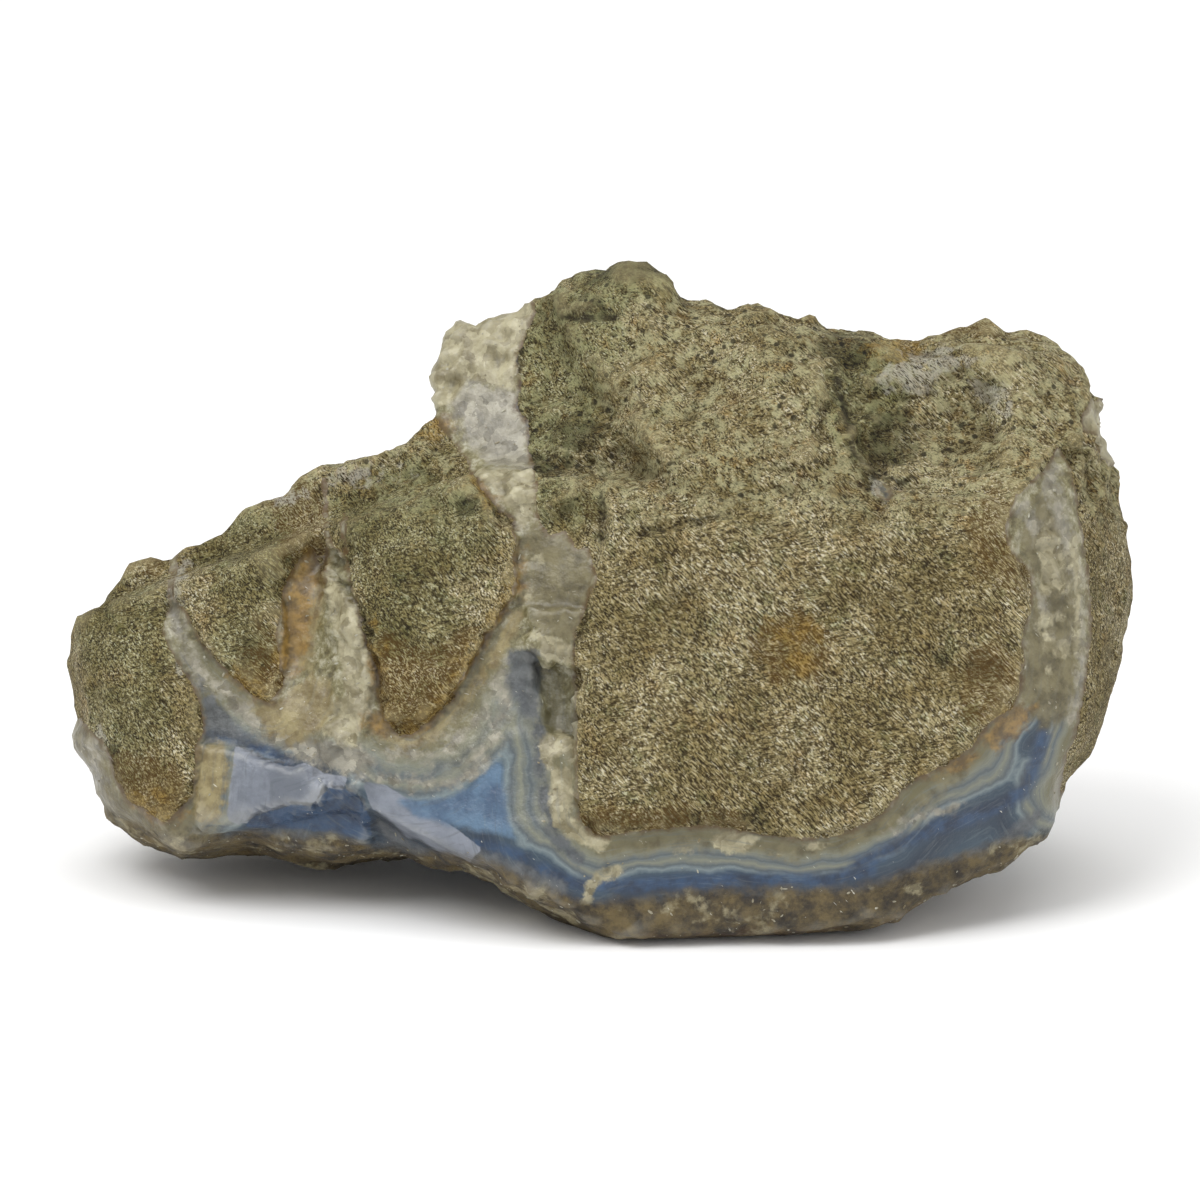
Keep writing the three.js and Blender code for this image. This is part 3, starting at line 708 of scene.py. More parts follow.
    rust: tuple[Shape, ...] = (
        Spot((-33, 32.6), (2.2, 1.9)),
        Spot((-66.5, 21.5), (1.2, 1.0)),
        Spot((-33.5, 41), (1, 3.4)),
        Streak(((-30, 31.4), (-26, 32.6), (-22, 37), (-18, 44), (-13.4, 52)), 1.5),
        Streak(((-19, 69), (-15.4, 65.2)), 1.1),
        Patch((
            (-48.6, 46), (-47.4, 52), (-45, 57.6), (-43.4, 59), (-42.4, 54), (-43, 49), (-44, 44),
            (-46, 39.6), (-48, 41))),
        Streak(((-50.4, 36), (-55, 40)), 1.2),
        Streak(((-63, 18.8), (-66.6, 18.4), (-70, 21)), 2.2),
        Patch(((56.6, 29.4), (58.4, 33.4), (61.4, 35.4), (64.8, 35), (63, 31.6), (59, 28.8))),
        Streak(((48, 25.4), (52.4, 25.8), (56, 28)), 1.5),
        Spot((29.3, 46.4), (3.4, 1.7)),
        Spot((29.4, 41.8), (1.7, 2.2)),
        Spot((45, 88.6), (3.4, 1.7)),
        Spot((-12, 55), (0.9, 3.4)),
        Spot((-24.5, 77.4), (2.2, 1.6)),
    )
    stain: tuple[Shape, ...] = (
        Spot((29, 44), (5.6, 5.2)),
        Patch(((-33, 33), (-34.6, 42), (-31, 46), (-25, 44), (-19, 46), (-18, 42), (-22, 36), (-28, 31))),
        Spot((-69, 22.6), (6, 5.5)),
        Spot((-48.6, 41), (5.4, 5.6)),
        Spot((60, 60), (5, 8)),
        Spot((58, 38), (5, 7)),
        Streak(((-2, 18), (8, 18.4), (20, 18.4)), 2.6),
        Spot((-45, 62), (4, 8)),
        Spot((-71, 57), (6, 2)),
        Spot((52, 92), (10, 1.5)),
    )
    dark: tuple[Shape, ...] = (
        Patch(((32.6, 91.6), (40.6, 91), (40, 86.4), (37, 84.6), (34, 87))),
        Patch(((40.6, 80), (46.4, 79.4), (47.6, 74), (46, 70.6), (41.6, 70.6), (40.4, 74))),
        Spot((57, 41), (3, 2.4)),
        Spot((50, 42.6), (1.4, 1)),
        Spot((-52, 43), (2.4, 2)),
        Spot((-2, 95), (4.6, 1.2)),
        # Painted shadow along the ledge at v 70.
        Spot((-8, 71), (6, 1.6)),
        Streak(((35, 84), (38, 73), (42, 66)), 1.2),
        Streak(((-1, 17.4), (6, 18.4), (24, 18.4)), 1.8),
        Spot((-20.4, 65), (1.5, 1.7)),
        Spot((-76, 27.6), (3, 1.4)),
        Spot((-3, 76), (4, 3)),
        Spot((6, 101), (8, 2)),
    )
    bleached: tuple[Shape, ...] = (
        Spot((46.6, 84.6), (4.6, 2.2)),
        Spot((58.4, 81.4), (3, 2)),
        Spot((51, 87), (4.6, 1.8)),
        Spot((42.4, 67), (1.6, 1.4)),
        Spot((-36, 69.8), (3.6, 0.9)),
        Spot((-46, 66.4), (2.6, 0.9)),
        Spot((-63.6, 52), (0.8, 6)),
        Spot((-76.6, 29.4), (1.8, 2)),
    )
    green: tuple[Shape, ...] = (
        Patch(((-13, 70), (-12.6, 95), (-2, 98), (4, 90), (0, 84), (1, 78), (-4, 73), (-9, 70))),
        Spot((2, 99), (10, 3.4)),
        Spot((40, 82), (6, 8)),
        Spot((-28, 62), (12, 9)),
        Spot((-29, 49), (8, 7)),
        Spot((-71, 33), (6, 8)),
        Spot((-54, 46), (5, 7)),
        Spot((-70, 46), (9, 8)),
        Spot((-6, 65), (4.4, 4.4)),
        Spot((-52, 57), (9, 7)),
    )
    blue_reach: tuple[Triple, ...] = (
        (-70, 13, 0.7), (-60, 36, 0.9), (-48, 25, 1.0), (-45, 34, 0.25), (-42, 17, 1.0), (-63, 50, 0.3),
        (-37, 38, 0.0), (-30, 25, 0.7), (-20, 30, 0.45), (-15, 22, 1.0), (-12, 38, 0.55), (-8, 42, 0.1),
        (-7, 54, 0.0), (-11, 64, 0.0), (-5, 20, 0.5), (-2, 12, 0.9), (10, 12, 0.7), (20, 8, 1.0),
        (36, 11, 0.9), (50, 18, 1.0), (60, 27, 0.8), (66, 29, 0.9), (68, 38, 0.15), (68, 50, 0.0),
        (66, 66, 0.2), (68, 72, 0.2), (-20, 86, 0.0), (-16, 75, 0.1), (-76, 22, 0.1),
    )
    core_depth: tuple[Triple, ...] = (
        (-60, 34, 9.0), (-48, 24, 7.5), (-30, 24, 9.5), (-16, 24, 10.5), (-18, 32, 11.0), (-10, 36, 12.0),
        (-8, 26, 11.0), (-3, 10, 7.0), (10, 9, 6.0), (30, 9, 5.5), (50, 18, 6.0), (62, 24, 7.0),
        (67, 30, 4.0),
    )
    mark_blur: float = 2.0


class Layer(Enum):
    """The attributes that carry the face map to the materials, in millimetres unless the name says share."""

    WALL = "wall"
    CRUST = "crust"
    CREAM = "cream"
    PALE = "pale"
    DEEP = "deep"
    SLATE = "slate"
    TAN = "tan"
    RUST = "rust"
    STAIN = "stain"
    DARK = "dark"
    BLEACHED = "bleached"
    GREEN = "green"
    BAND = "band_share"
    BLUE = "blue_share"
    SLOPE = "slope_share"
    GRIT = "grit_share"
    HOLLOW = "hollow"
    FROST = "frost"
    GLOW = "glow"
    CRACK_AND_SHADOW_LINE = "crack"
    RECESS = "recess"
    MOSS = "moss"


def maths_method(operation: str, swapped: bool = False) -> Callable[["Wire", Any], "Wire"]:
    """Makes a method of Wire that adds one Math node.

    Args:
        operation: what the node does.
        swapped: whether the other value comes first.

    Returns:
        The method.
    """

    def method(wire: "Wire", other: Any) -> "Wire":
        """Adds the node for this wire and another value."""
        first, second = (other, wire) if swapped else (wire, other)
        return wire.graph.node("ShaderNodeMath", {"operation": operation}, {0: first, 1: second})

    return method


class Wire:
    """A node's output socket that Python's operators turn into Math nodes."""

    __add__ = maths_method("ADD")
    __radd__ = maths_method("ADD", swapped=True)
    __sub__ = maths_method("SUBTRACT")
    __mul__ = maths_method("MULTIPLY")
    __rmul__ = maths_method("MULTIPLY", swapped=True)
    __rtruediv__ = maths_method("DIVIDE", swapped=True)
    at_least = maths_method("MAXIMUM")

    def __init__(self, graph: "Graph", socket: bpy.types.NodeSocket) -> None:
        """Keeps the socket and the graph that it belongs to."""
        self.graph = graph
        self.socket = socket

    def between(self, low: Any, high: Any) -> "Wire":
        """Rises smoothly from 0 at low to 1 at high; low may be the larger."""
        settings = {"interpolation_type": "SMOOTHSTEP"}
        values = {"Value": self, "From Min": low, "From Max": high}
        return self.graph.node("ShaderNodeMapRange", settings, values)


class Graph:
    """Adds nodes to one node tree."""

    def __init__(self, tree: bpy.types.NodeTree) -> None:
        """Keeps the tree that the nodes go into."""
        self.tree = tree

    def node(
        self,
        kind: str,
        settings: dict[str, Any] | None = None,
        values: dict[Any, Any] | None = None,
        output: int | str = 0,
    ) -> Wire:
        """Adds any node.

        Args:
            kind: the node's type.
            settings: properties set before the sockets, with a ramp's stops under "stops".
            values: socket values or links, by the socket's name or index.
            output: which output is wanted.

        Returns:
            The output as a Wire.
        """
        made = self.tree.nodes.new(kind)
        for name, value in (settings or {}).items():
            if name == "stops":
                self._set_stops(made, value)
            else:
                setattr(made, name, value)
        for key, value in (values or {}).items():
            socket = made.inputs[key]
            if isinstance(value, Wire):
                self.tree.links.new(value.socket, socket)
            elif socket.type == "RGBA":
                socket.default_value = (*value, 1.0)
            else:
                socket.default_value = value
        return Wire(self, made.outputs[output])

    def vector(self, operation: str, first: Any, second: Any, output: int | str = 0) -> Wire:
        """Adds one Vector Math node; where it scales, the second value is the factor."""
        other = "Scale" if operation == "SCALE" else 1
        return self.node("ShaderNodeVectorMath", {"operation": operation}, {0: first, other: second}, output)

    @staticmethod
    def _set_stops(ramp: bpy.types.Node, stops: Sequence[tuple[float, Colour]]) -> None:
        """Gives a colour ramp its stops."""
        elements = ramp.color_ramp.elements
        while len(elements) < len(stops):
            elements.new(0.5)
        for element, (place, colour) in zip(elements, stops):
            element.position = place
            element.color = (*colour, 1.0)


class Paint(Graph):
    """A graph for one material, with the stone's coordinates in millimetres."""

    def __init__(self, tree: bpy.types.NodeTree) -> None:
        """Starts from the piece's own object coordinates."""
        super().__init__(tree)
        place = self.node("ShaderNodeTexCoord", output="Object")
        self.place = self.vector("SCALE", place, 1.0 / MM)

    def attribute(self, layer: Layer) -> Wire:
        """Reads one of the stone's attributes."""
        return self.node("ShaderNodeAttribute", {"attribute_name": layer.value}, output="Fac")

    def noise(self, size: float, detail: float = 3.0, roughness: float = 0.55, seed: float = 0.0) -> Wire:
        """Smooth noise about 0.5, with features of a size in millimetres."""
        values = {"Vector": self.place, "W": seed, "Scale": 1.0 / size, "Detail": detail}
        values["Roughness"] = roughness
        return self.node("ShaderNodeTexNoise", {"noise_dimensions": "4D"}, values)

    def streaks(self, size: float, long: float, slant: float, seed: float = 0.0) -> Wire:
        """Noise of short slanting strokes, such as broken grains give.

        Args:
            size: how wide the strokes are, in millimetres.
            long: how many times longer than wide they are.
            slant: how far they turn from level, in degrees.
            seed: which pattern.

        Returns:
            The noise, about 0.5.
        """
        turned = self.node(
            "ShaderNodeMapping",
            values={"Vector": self.place, "Rotation": (0.0, math.radians(slant), 0.0)},
        )
        squeezed = self.vector("MULTIPLY", turned, (1.0 / long, 1.0, 1.0))
        values = {"Vector": squeezed, "W": seed, "Scale": 1.0 / size, "Detail": 2.0, "Roughness": 0.5}
        return self.node("ShaderNodeTexNoise", {"noise_dimensions": "4D"}, values)

    def cells(self, size: float, feature: str = "F1", output: str = "Distance") -> Wire:
        """Voronoi cells of a size in millimetres."""
        values = {"Vector": self.place, "Scale": 1.0 / size}
        return self.node("ShaderNodeTexVoronoi", {"feature": feature}, values, output)

    def crystals(self, size: float) -> Wire:
        """One value from 0 to 1 for each of the small crystals that fill the space."""
        warp = self.node("ShaderNodeTexNoise", values={"Vector": self.place, "Scale": 1.4 / size}, output=1)
        there = self.vector("ADD", self.place, self.vector("SCALE", warp, size * 0.9))
        values = {"Vector": there, "Scale": 1.0 / size}
        tint = self.node("ShaderNodeTexVoronoi", values=values, output="Color")
        return self.node("ShaderNodeSeparateXYZ", values={"Vector": tint})

    def ramp(self, share: Wire, stops: Sequence[tuple[float, Colour]]) -> Wire:
        """Turns a value into a colour by stops."""
        return self.node("ShaderNodeValToRGB", {"stops": stops}, {"Fac": share})

    def finish(self, surface: Wire) -> None:
        """Ends the material with its surface."""
        out = self.tree.nodes.new("ShaderNodeOutputMaterial")
        self.tree.links.new(surface.socket, out.inputs["Surface"])

    def blend(self, low: Any, high: Any, share: Any) -> Wire:
        """Mixes two colours."""
        values = {0: share, 6: low, 7: high}
        return self.node("ShaderNodeMix", {"data_type": "RGBA"}, values, output=2)

    def multiply(self, colour: Any, factor: Any, share: Any = 1.0) -> Wire:
        """Multiplies one colour by another."""
        values = {0: share, 6: colour, 7: factor}
        return self.node("ShaderNodeMix", {"data_type": "RGBA", "blend_type": "MULTIPLY"}, values, output=2)

    def inside(self, layer: Layer, edge: float, ragged: float, size: float) -> Wire:
        """A mask that is 1 inside a layer's shapes.

        Args:
            layer: the attribute with the distance to the shapes.
            edge: how wide the change at the border is, in millimetres.
            ragged: how far the border wanders.
            size: the size of its wandering.

        Returns:
            The mask.
        """
        wander = (self.noise(size, 4.0, 0.6, seed=len(layer.value) * 1.7) - 0.5) * (2.0 * ragged)
        return (self.attribute(layer) + wander).between(edge / 2.0, -edge / 2.0)


@dataclass(frozen=True)
class RockFinish:
    """Weathered, grainy host rock."""

    fibre: Colour = srgb(236, 230, 204)
    light: Colour = srgb(174, 162, 121)
    middle: Colour = srgb(104, 92, 60)
    shade: Colour = srgb(50, 40, 20)
    lichen: Colour = srgb(176, 172, 132)
    pit_shadow: Colour = srgb(40, 36, 22)
    cloud: Colour = srgb(196, 188, 158)
    warm_tint: Colour = srgb(255, 224, 176)
    cool_tint: Colour = srgb(208, 216, 200)
    green_tint: Colour = srgb(206, 214, 196)
    dark_tint: Colour = srgb(140, 140, 122)
    stain_colour: Colour = srgb(88, 64, 22)
    rust_colour: Colour = srgb(88, 64, 16)
    rust_light: Colour = srgb(154, 124, 54)
    bleached_colour: Colour = srgb(174, 172, 162)
    soil: Colour = srgb(84, 64, 32)
    crack: Colour = srgb(34, 27, 13)
    # Painted shade for the hollows.
    hollow_shade: Colour = srgb(124, 108, 78)
    roughness: float = 0.85

    def salt(self, paint: Paint) -> Wire:
        """The grain that both the colour and the fine relief follow."""
        falling = paint.streaks(0.19, 6.0, -48.0, 1.0)
        crossing = paint.streaks(0.19, 5.0, 12.0, 2.0)
        share = paint.noise(7.0, 3.0, 0.6, 22.0).between(0.42, 0.62)
        return falling + (crossing - falling) * share * 0.7

    def colour(self, paint: Paint, salt: Wire) -> Wire:
        """Builds the rock's colour."""
        slope = paint.attribute(Layer.SLOPE)
        patchy = paint.noise(0.9, 6.0, 0.75, 14.0)
        grain = salt + (patchy - 0.5) * 0.4
        base = paint.ramp(grain, ((0.37, self.shade), (0.47, self.middle), (0.585, self.light)))
        specks = paint.noise(0.55, 4.0, 0.7, 23.0)
        base = paint.blend(base, self.shade, specks.between(0.45, 0.39) * 0.8)
        needles = paint.streaks(0.23, 6.5, -42.0, 5.0).between(0.56, 0.6)
        base = paint.blend(base, self.fibre, needles * specks.between(0.4, 0.56) * 0.7)
        base = paint.multiply(base, self.cloud, paint.noise(9.0, 6.0, 0.65, 8.0).between(0.6, 0.42) * 0.8)
        drifts = paint.noise(3.6, 8.0, 0.74, 15.0)
        base = paint.multiply(base, self.warm_tint, drifts.between(0.52, 0.64) * (0.35 + slope * 0.25))
        base = paint.multiply(base, self.cool_tint, drifts.between(0.47, 0.38) * 0.8)
        lichen = paint.noise(1.8, 6.0, 0.7, 3.0).between(0.47, 0.6)
        base = paint.blend(base, self.lichen, slope * lichen * 0.7 * grain.between(0.3, 0.5))
        # Painted shade: small dark spots stand in for the shadows in pits, most of all on the upper slope.
        shaded_pits = paint.cells(2.1).between(0.26, 0.16) * paint.noise(6.0, 3.0, 0.6, 16.0).between(0.47, 0.55)
        base = paint.blend(base, self.pit_shadow, shaded_pits * (0.1 + slope * 0.75))
        base = paint.multiply(base, self.green_tint, paint.inside(Layer.GREEN, 3.0, 6.0, 6.0) * 0.7)
        # Darker patches; the thin spot along the ledge at v 70 is painted shadow.
        base = paint.multiply(base, self.dark_tint, paint.inside(Layer.DARK, 2.0, 4.0, 2.0) * 0.75)
        stain = paint.inside(Layer.STAIN, 2.4, 6.0, 2.6) * salt.between(0.66, 0.4)
        base = paint.blend(base, self.stain_colour, stain * 0.7)
        soil = paint.noise(5.0, 6.0, 0.72, 17.0).between(0.56, 0.68) * salt.between(0.6, 0.44)
        base = paint.blend(base, self.soil, soil * 0.5)
        rusty = paint.blend(self.rust_colour, self.rust_light, grain.between(0.4, 0.58))
        base = paint.blend(base, rusty, paint.inside(Layer.RUST, 2.4, 4.6, 1.8) * 0.6)
        bleached = paint.inside(Layer.BLEACHED, 1.4, 4.4, 2.0)
        base = paint.blend(base, self.bleached_colour, bleached * salt.between(0.38, 0.54) * 0.6)
        hollow = paint.attribute(Layer.HOLLOW)
        # Painted shade: hollows below the evened surface are darkened.
        base = paint.multiply(base, self.hollow_shade, hollow.between(0.15, 1.2) * 0.5)
        # Darkens real cracks, and paints shadow lines along ledges and recess edges.
        base = paint.blend(base, self.crack, paint.inside(Layer.CRACK_AND_SHADOW_LINE, 0.5, 0.8, 1.2) * 0.8)
        # Painted highlight: crests that stand above the evened surface are lightened towards the light grain
        # tone.
        return paint.blend(base, self.light, hollow.between(-0.25, -1.2) * 0.3)

    def shader(self, paint: Paint) -> Wire:
        """Builds the rock's shader."""
        salt = self.salt(paint)
        relief = salt * 0.25 + paint.noise(0.9, 6.0, 0.75, 14.0) * 0.7
        bump = paint.node("ShaderNodeBump", values={"Strength": 1.0, "Distance": MM, "Height": relief})
        values = {"Base Color": self.colour(paint, salt), "Normal": bump, "Roughness": self.roughness}
        values["Specular IOR Level"] = 0.3
        return paint.node("ShaderNodeBsdfPrincipled", values=values)


@dataclass(frozen=True)
class AgateFinish:
    """Waxy, translucent chalcedony in bands, with quartz at the walls and a dull crust below."""

    contact: Colour = srgb(84, 64, 30)
    grey_green: Colour = srgb(99, 94, 66)
    mist: Colour = srgb(117, 119, 104)
    smoke: Colour = srgb(76, 84, 88)
    ice: Colour = srgb(110, 122, 124)
    sky: Colour = srgb(48, 66, 80)
    sea: Colour = srgb(27, 41, 58)
    quartz: Colour = srgb(84, 76, 46)
    quartz_light: Colour = srgb(122, 116, 82)
    bright_vein: Colour = srgb(166, 162, 140)
    cream_colour: Colour = srgb(178, 171, 141)
    cream_shade: Colour = srgb(94, 84, 52)
    pale_colour: Colour = srgb(128, 133, 143)
    pale_shade: Colour = srgb(98, 103, 112)
    deep_colour: Colour = srgb(16, 32, 56)
    deep_light: Colour = srgb(42, 68, 98)
    slate_colour: Colour = srgb(50, 54, 58)
    slate_light: Colour = srgb(90, 93, 95)
    frost_colour: Colour = srgb(166, 161, 145)
    frost_shade: Colour = srgb(84, 79, 66)
    moss_colour: Colour = srgb(116, 108, 78)
    moss_shade: Colour = srgb(66, 58, 32)
    # Painted light: the glow of light seen through the translucent agate.
    glow_colour: Colour = srgb(88, 114, 138)
    glow_shade: Colour = srgb(58, 78, 104)
    crack: Colour = srgb(34, 38, 44)
    tan_colour: Colour = srgb(96, 80, 44)
    tan_light: Colour = srgb(150, 138, 98)
    rust_colour: Colour = srgb(82, 58, 16)
    rust_light: Colour = srgb(144, 112, 50)
    crust_colour: Colour = srgb(38, 28, 12)
    crust_light: Colour = srgb(106, 90, 52)
    fleck_colour: Colour = srgb(152, 143, 112)
    foot_colour: Colour = srgb(78, 50, 16)
    # Real white nicks, and also the painted highlight on crests.
    nick_and_highlight: Colour = srgb(206, 204, 190)
    roughness: float = 0.4

    def colour(self, paint: Paint, crust: Wire) -> Wire:
        """Builds the agate's colour."""
        band = paint.attribute(Layer.BAND) + (paint.noise(5.0, 5.0, 0.56, 2.0) - 0.5) * 0.5
        bands = self._bands(paint, band)
        crystals = paint.crystals(1.5)
        mottle = paint.noise(1.8, 5.0, 0.68, 5.0) + (crystals - 0.5) * 0.06
        plain = paint.ramp(
            mottle, ((0.38, self.quartz), (0.5, self.quartz_light), (0.62, self.bright_vein))
        )
        base = paint.blend(plain, bands, paint.attribute(Layer.BLUE).between(0.1, 0.7))
        wisps = self._wisps(paint)
        for layer, low, high, edge, ragged, size, broken in (
            (Layer.MOSS, self.moss_shade, self.moss_colour, 2.6, 2.4, 2.4, 0.2),
            (Layer.FROST, self.frost_shade, self.frost_colour, 2.4, 3.4, 2.4, 0.6),
            (Layer.DEEP, self.deep_colour, self.deep_light, 1.6, 0.5, 3.0, 0.0),
            (Layer.RECESS, self.deep_colour, self.deep_light, 0.25, 0.3, 4.0, 0.0),
            (Layer.SLATE, self.slate_colour, self.slate_light, 1.4, 1.6, 2.0, 0.2),
            (Layer.PALE, self.pale_shade, self.pale_colour, 0.25, 0.3, 5.0, 0.05),
            # The glow layer is painted light seen through the agate.
            (Layer.GLOW, self.glow_shade, self.glow_colour, 1.3, 0.8, 5.0, 0.0),
            (Layer.TAN, self.tan_colour, self.tan_light, 1.6, 2.4, 2.4, 0.35),
            (Layer.CREAM, self.cream_shade, self.cream_colour, 0.8, 1.4, 2.8, 0.5),
        ):
            cloudy = paint.noise(size, 5.0, 0.6, edge).between(0.34, 0.64)
            tone = paint.blend(low, high, cloudy + (crystals - cloudy) * broken)
            base = paint.blend(base, tone, paint.inside(layer, edge, ragged, 1.6) * 0.92)
        clear = paint.attribute(Layer.BLUE) * 0.7 + 0.25
        base = paint.blend(base, self.ice, wisps.between(0.56, 0.7) * clear * 0.28)
        base = paint.blend(base, self.smoke, wisps.between(0.45, 0.34) * clear * 0.42)
        crumb = paint.noise(3.2, 6.0, 0.7, 9.0).between(0.34, 0.66)
        fleck = paint.noise(5.5, 6.0, 0.6, 7.0).between(0.55, 0.64) * (0.4 + crystals * 0.6)
        ground = paint.blend(self.crust_colour, self.crust_light, crumb)
        ground = paint.blend(ground, self.fleck_colour, fleck)
        foot = paint.attribute(Layer.CRUST) + paint.noise(4.0, 4.0, 0.6, 19.0) * 8.0
        ground = paint.blend(ground, self.foot_colour, foot.between(-1.5, -5.0) * 0.6)
        base = paint.blend(base, ground, crust * 0.92)
        tone = paint.noise(1.7, 5.0, 0.62, 6.0).between(0.38, 0.64)
        rusty = paint.blend(self.rust_colour, self.rust_light, tone)
        base = paint.blend(base, rusty, paint.inside(Layer.RUST, 1.8, 2.8, 1.8) * 0.75)
        scratch = paint.streaks(0.3, 5.0, -48.0, 6.0)
        often = paint.noise(6.0, 3.0, 0.6, 26.0).between(0.48, 0.6) * 0.06
        base = paint.blend(base, self.nick_and_highlight, (scratch + often).between(0.75, 0.79) * 0.7)
        near_wall = paint.attribute(Layer.WALL) + (paint.noise(1.2, 4.0, 0.6, 1.0) - 0.5) * 2.4
        base = paint.blend(self.contact, base, near_wall.between(-0.3, 0.9))
        # Darkens real cracks, and paints shadow lines along ledges and recess edges.
        base = paint.blend(base, self.crack, paint.inside(Layer.CRACK_AND_SHADOW_LINE, 0.4, 0.5, 1.2) * 0.7)
        hollow = paint.attribute(Layer.HOLLOW)
        # Painted shade: hollows below the evened surface are darkened towards grey-green.
        base = paint.multiply(base, self.grey_green, hollow.between(0.3, 1.4) * 0.4)
        # Painted highlight: crests that stand above the evened surface are lightened.
        return paint.blend(base, self.nick_and_highlight, hollow.between(-0.4, -1.4) * 0.14)

    def _wisps(self, paint: Paint) -> Wire:
        """Thin streaks that run along the bands."""
        across = paint.attribute(Layer.WALL) * 1.6
        slow = paint.vector("SCALE", paint.place, 0.13)
        along = paint.node("ShaderNodeSeparateXYZ", values={"Vector": slow})
        rising = Wire(paint, along.socket.node.outputs["Z"])
        place = paint.node("ShaderNodeCombineXYZ", values={"X": across, "Y": along, "Z": rising})
        values = {"Vector": place, "Scale": 1.0, "Detail": 5.0, "Roughness": 0.62, "Distortion": 0.3}
        return paint.node("ShaderNodeTexNoise", {"noise_dimensions": "3D"}, values)

    def _bands(self, paint: Paint, band: Wire) -> Wire:
        """Colours the bands from the wall, at 0, to the blue core, past 1."""
        stops = (
            (0.0, self.grey_green), (0.16, self.grey_green), (0.25, self.mist), (0.33, self.smoke),
            (0.4, self.mist), (0.46, self.smoke), (0.5, self.ice), (0.56, self.sky), (0.74, self.sea),
            (1.0, self.sky),
        )
        ramp = paint.ramp(band * 0.5, stops)
        lines = paint.node(
            "ShaderNodeTexNoise",
            {"noise_dimensions": "1D"},
            {"W": band * 11.0, "Scale": 1.0, "Detail": 2.0, "Roughness": 0.6},
        )
        near = band.between(1.5, 0.9)
        ramp = paint.blend(ramp, self.ice, lines.between(0.5, 0.8) * near * 0.3)
        return paint.blend(ramp, self.smoke, lines.between(0.46, 0.2) * near * 0.45)

    def shader(self, paint: Paint) -> Wire:
        """Builds the agate's shader."""
        crust = paint.inside(Layer.CRUST, 2.6, 1.6, 2.4)
        relief = paint.noise(1.3, 4.0, 0.62, 11.0) * (0.3 + crust * 0.7)
        bump = paint.node("ShaderNodeBump", values={"Strength": 0.9, "Distance": MM, "Height": relief})
        rough = self.roughness + crust * 0.35 + (paint.noise(2.0, 3.0, 0.6, 12.0) - 0.5) * 0.3
        values = {"Base Color": self.colour(paint, crust), "Normal": bump, "Roughness": rough}
        values |= {"Subsurface Weight": 0.2} | QUARTZ_LIGHT
        return paint.node("ShaderNodeBsdfPrincipled", values=values)


def blank_material(name: str) -> tuple[bpy.types.Material, Paint]:
    """Makes an empty material and the graph to build it with."""
    made = bpy.data.materials.new(name)
    made.use_nodes = True
    made.node_tree.nodes.clear()
    return made, Paint(made.node_tree)


@dataclass(frozen=True)
class StoneFinish:
    """Host rock and agate on one surface, parted along the walls of the blocks."""

    rock: RockFinish = RockFinish()
    agate: AgateFinish = AgateFinish()

    def material(self) -> bpy.types.Material:
        """Builds the material."""
        made, paint = blank_material("host_rock_and_agate")
        wander = (paint.noise(2.2, 5.0, 0.66, 10.0) - 0.5) * 2.2
        is_agate = (paint.attribute(Layer.WALL) + wander).between(-0.12, 0.12)
        values = {0: is_agate, 1: self.rock.shader(paint), 2: self.agate.shader(paint)}
        paint.finish(paint.node("ShaderNodeMixShader", values=values))
        return made


@dataclass(frozen=True)
class ChipFinish:
    """Small broken quartz grains, white to honey."""

    pale: Colour = srgb(160, 157, 140)
    honey: Colour = srgb(112, 100, 70)
    roughness: float = 0.34

    def material(self) -> bpy.types.Material:
        """Builds the material."""
        made, paint = blank_material("quartz_grains")
        tone = paint.blend(self.honey, self.pale, paint.noise(3.0, 4.0, 0.7, 21.0).between(0.36, 0.6))
        values = {"Base Color": tone, "Roughness": self.roughness, "Subsurface Weight": 0.25} | QUARTZ_LIGHT
        paint.finish(paint.node("ShaderNodeBsdfPrincipled", values=values))
        return made


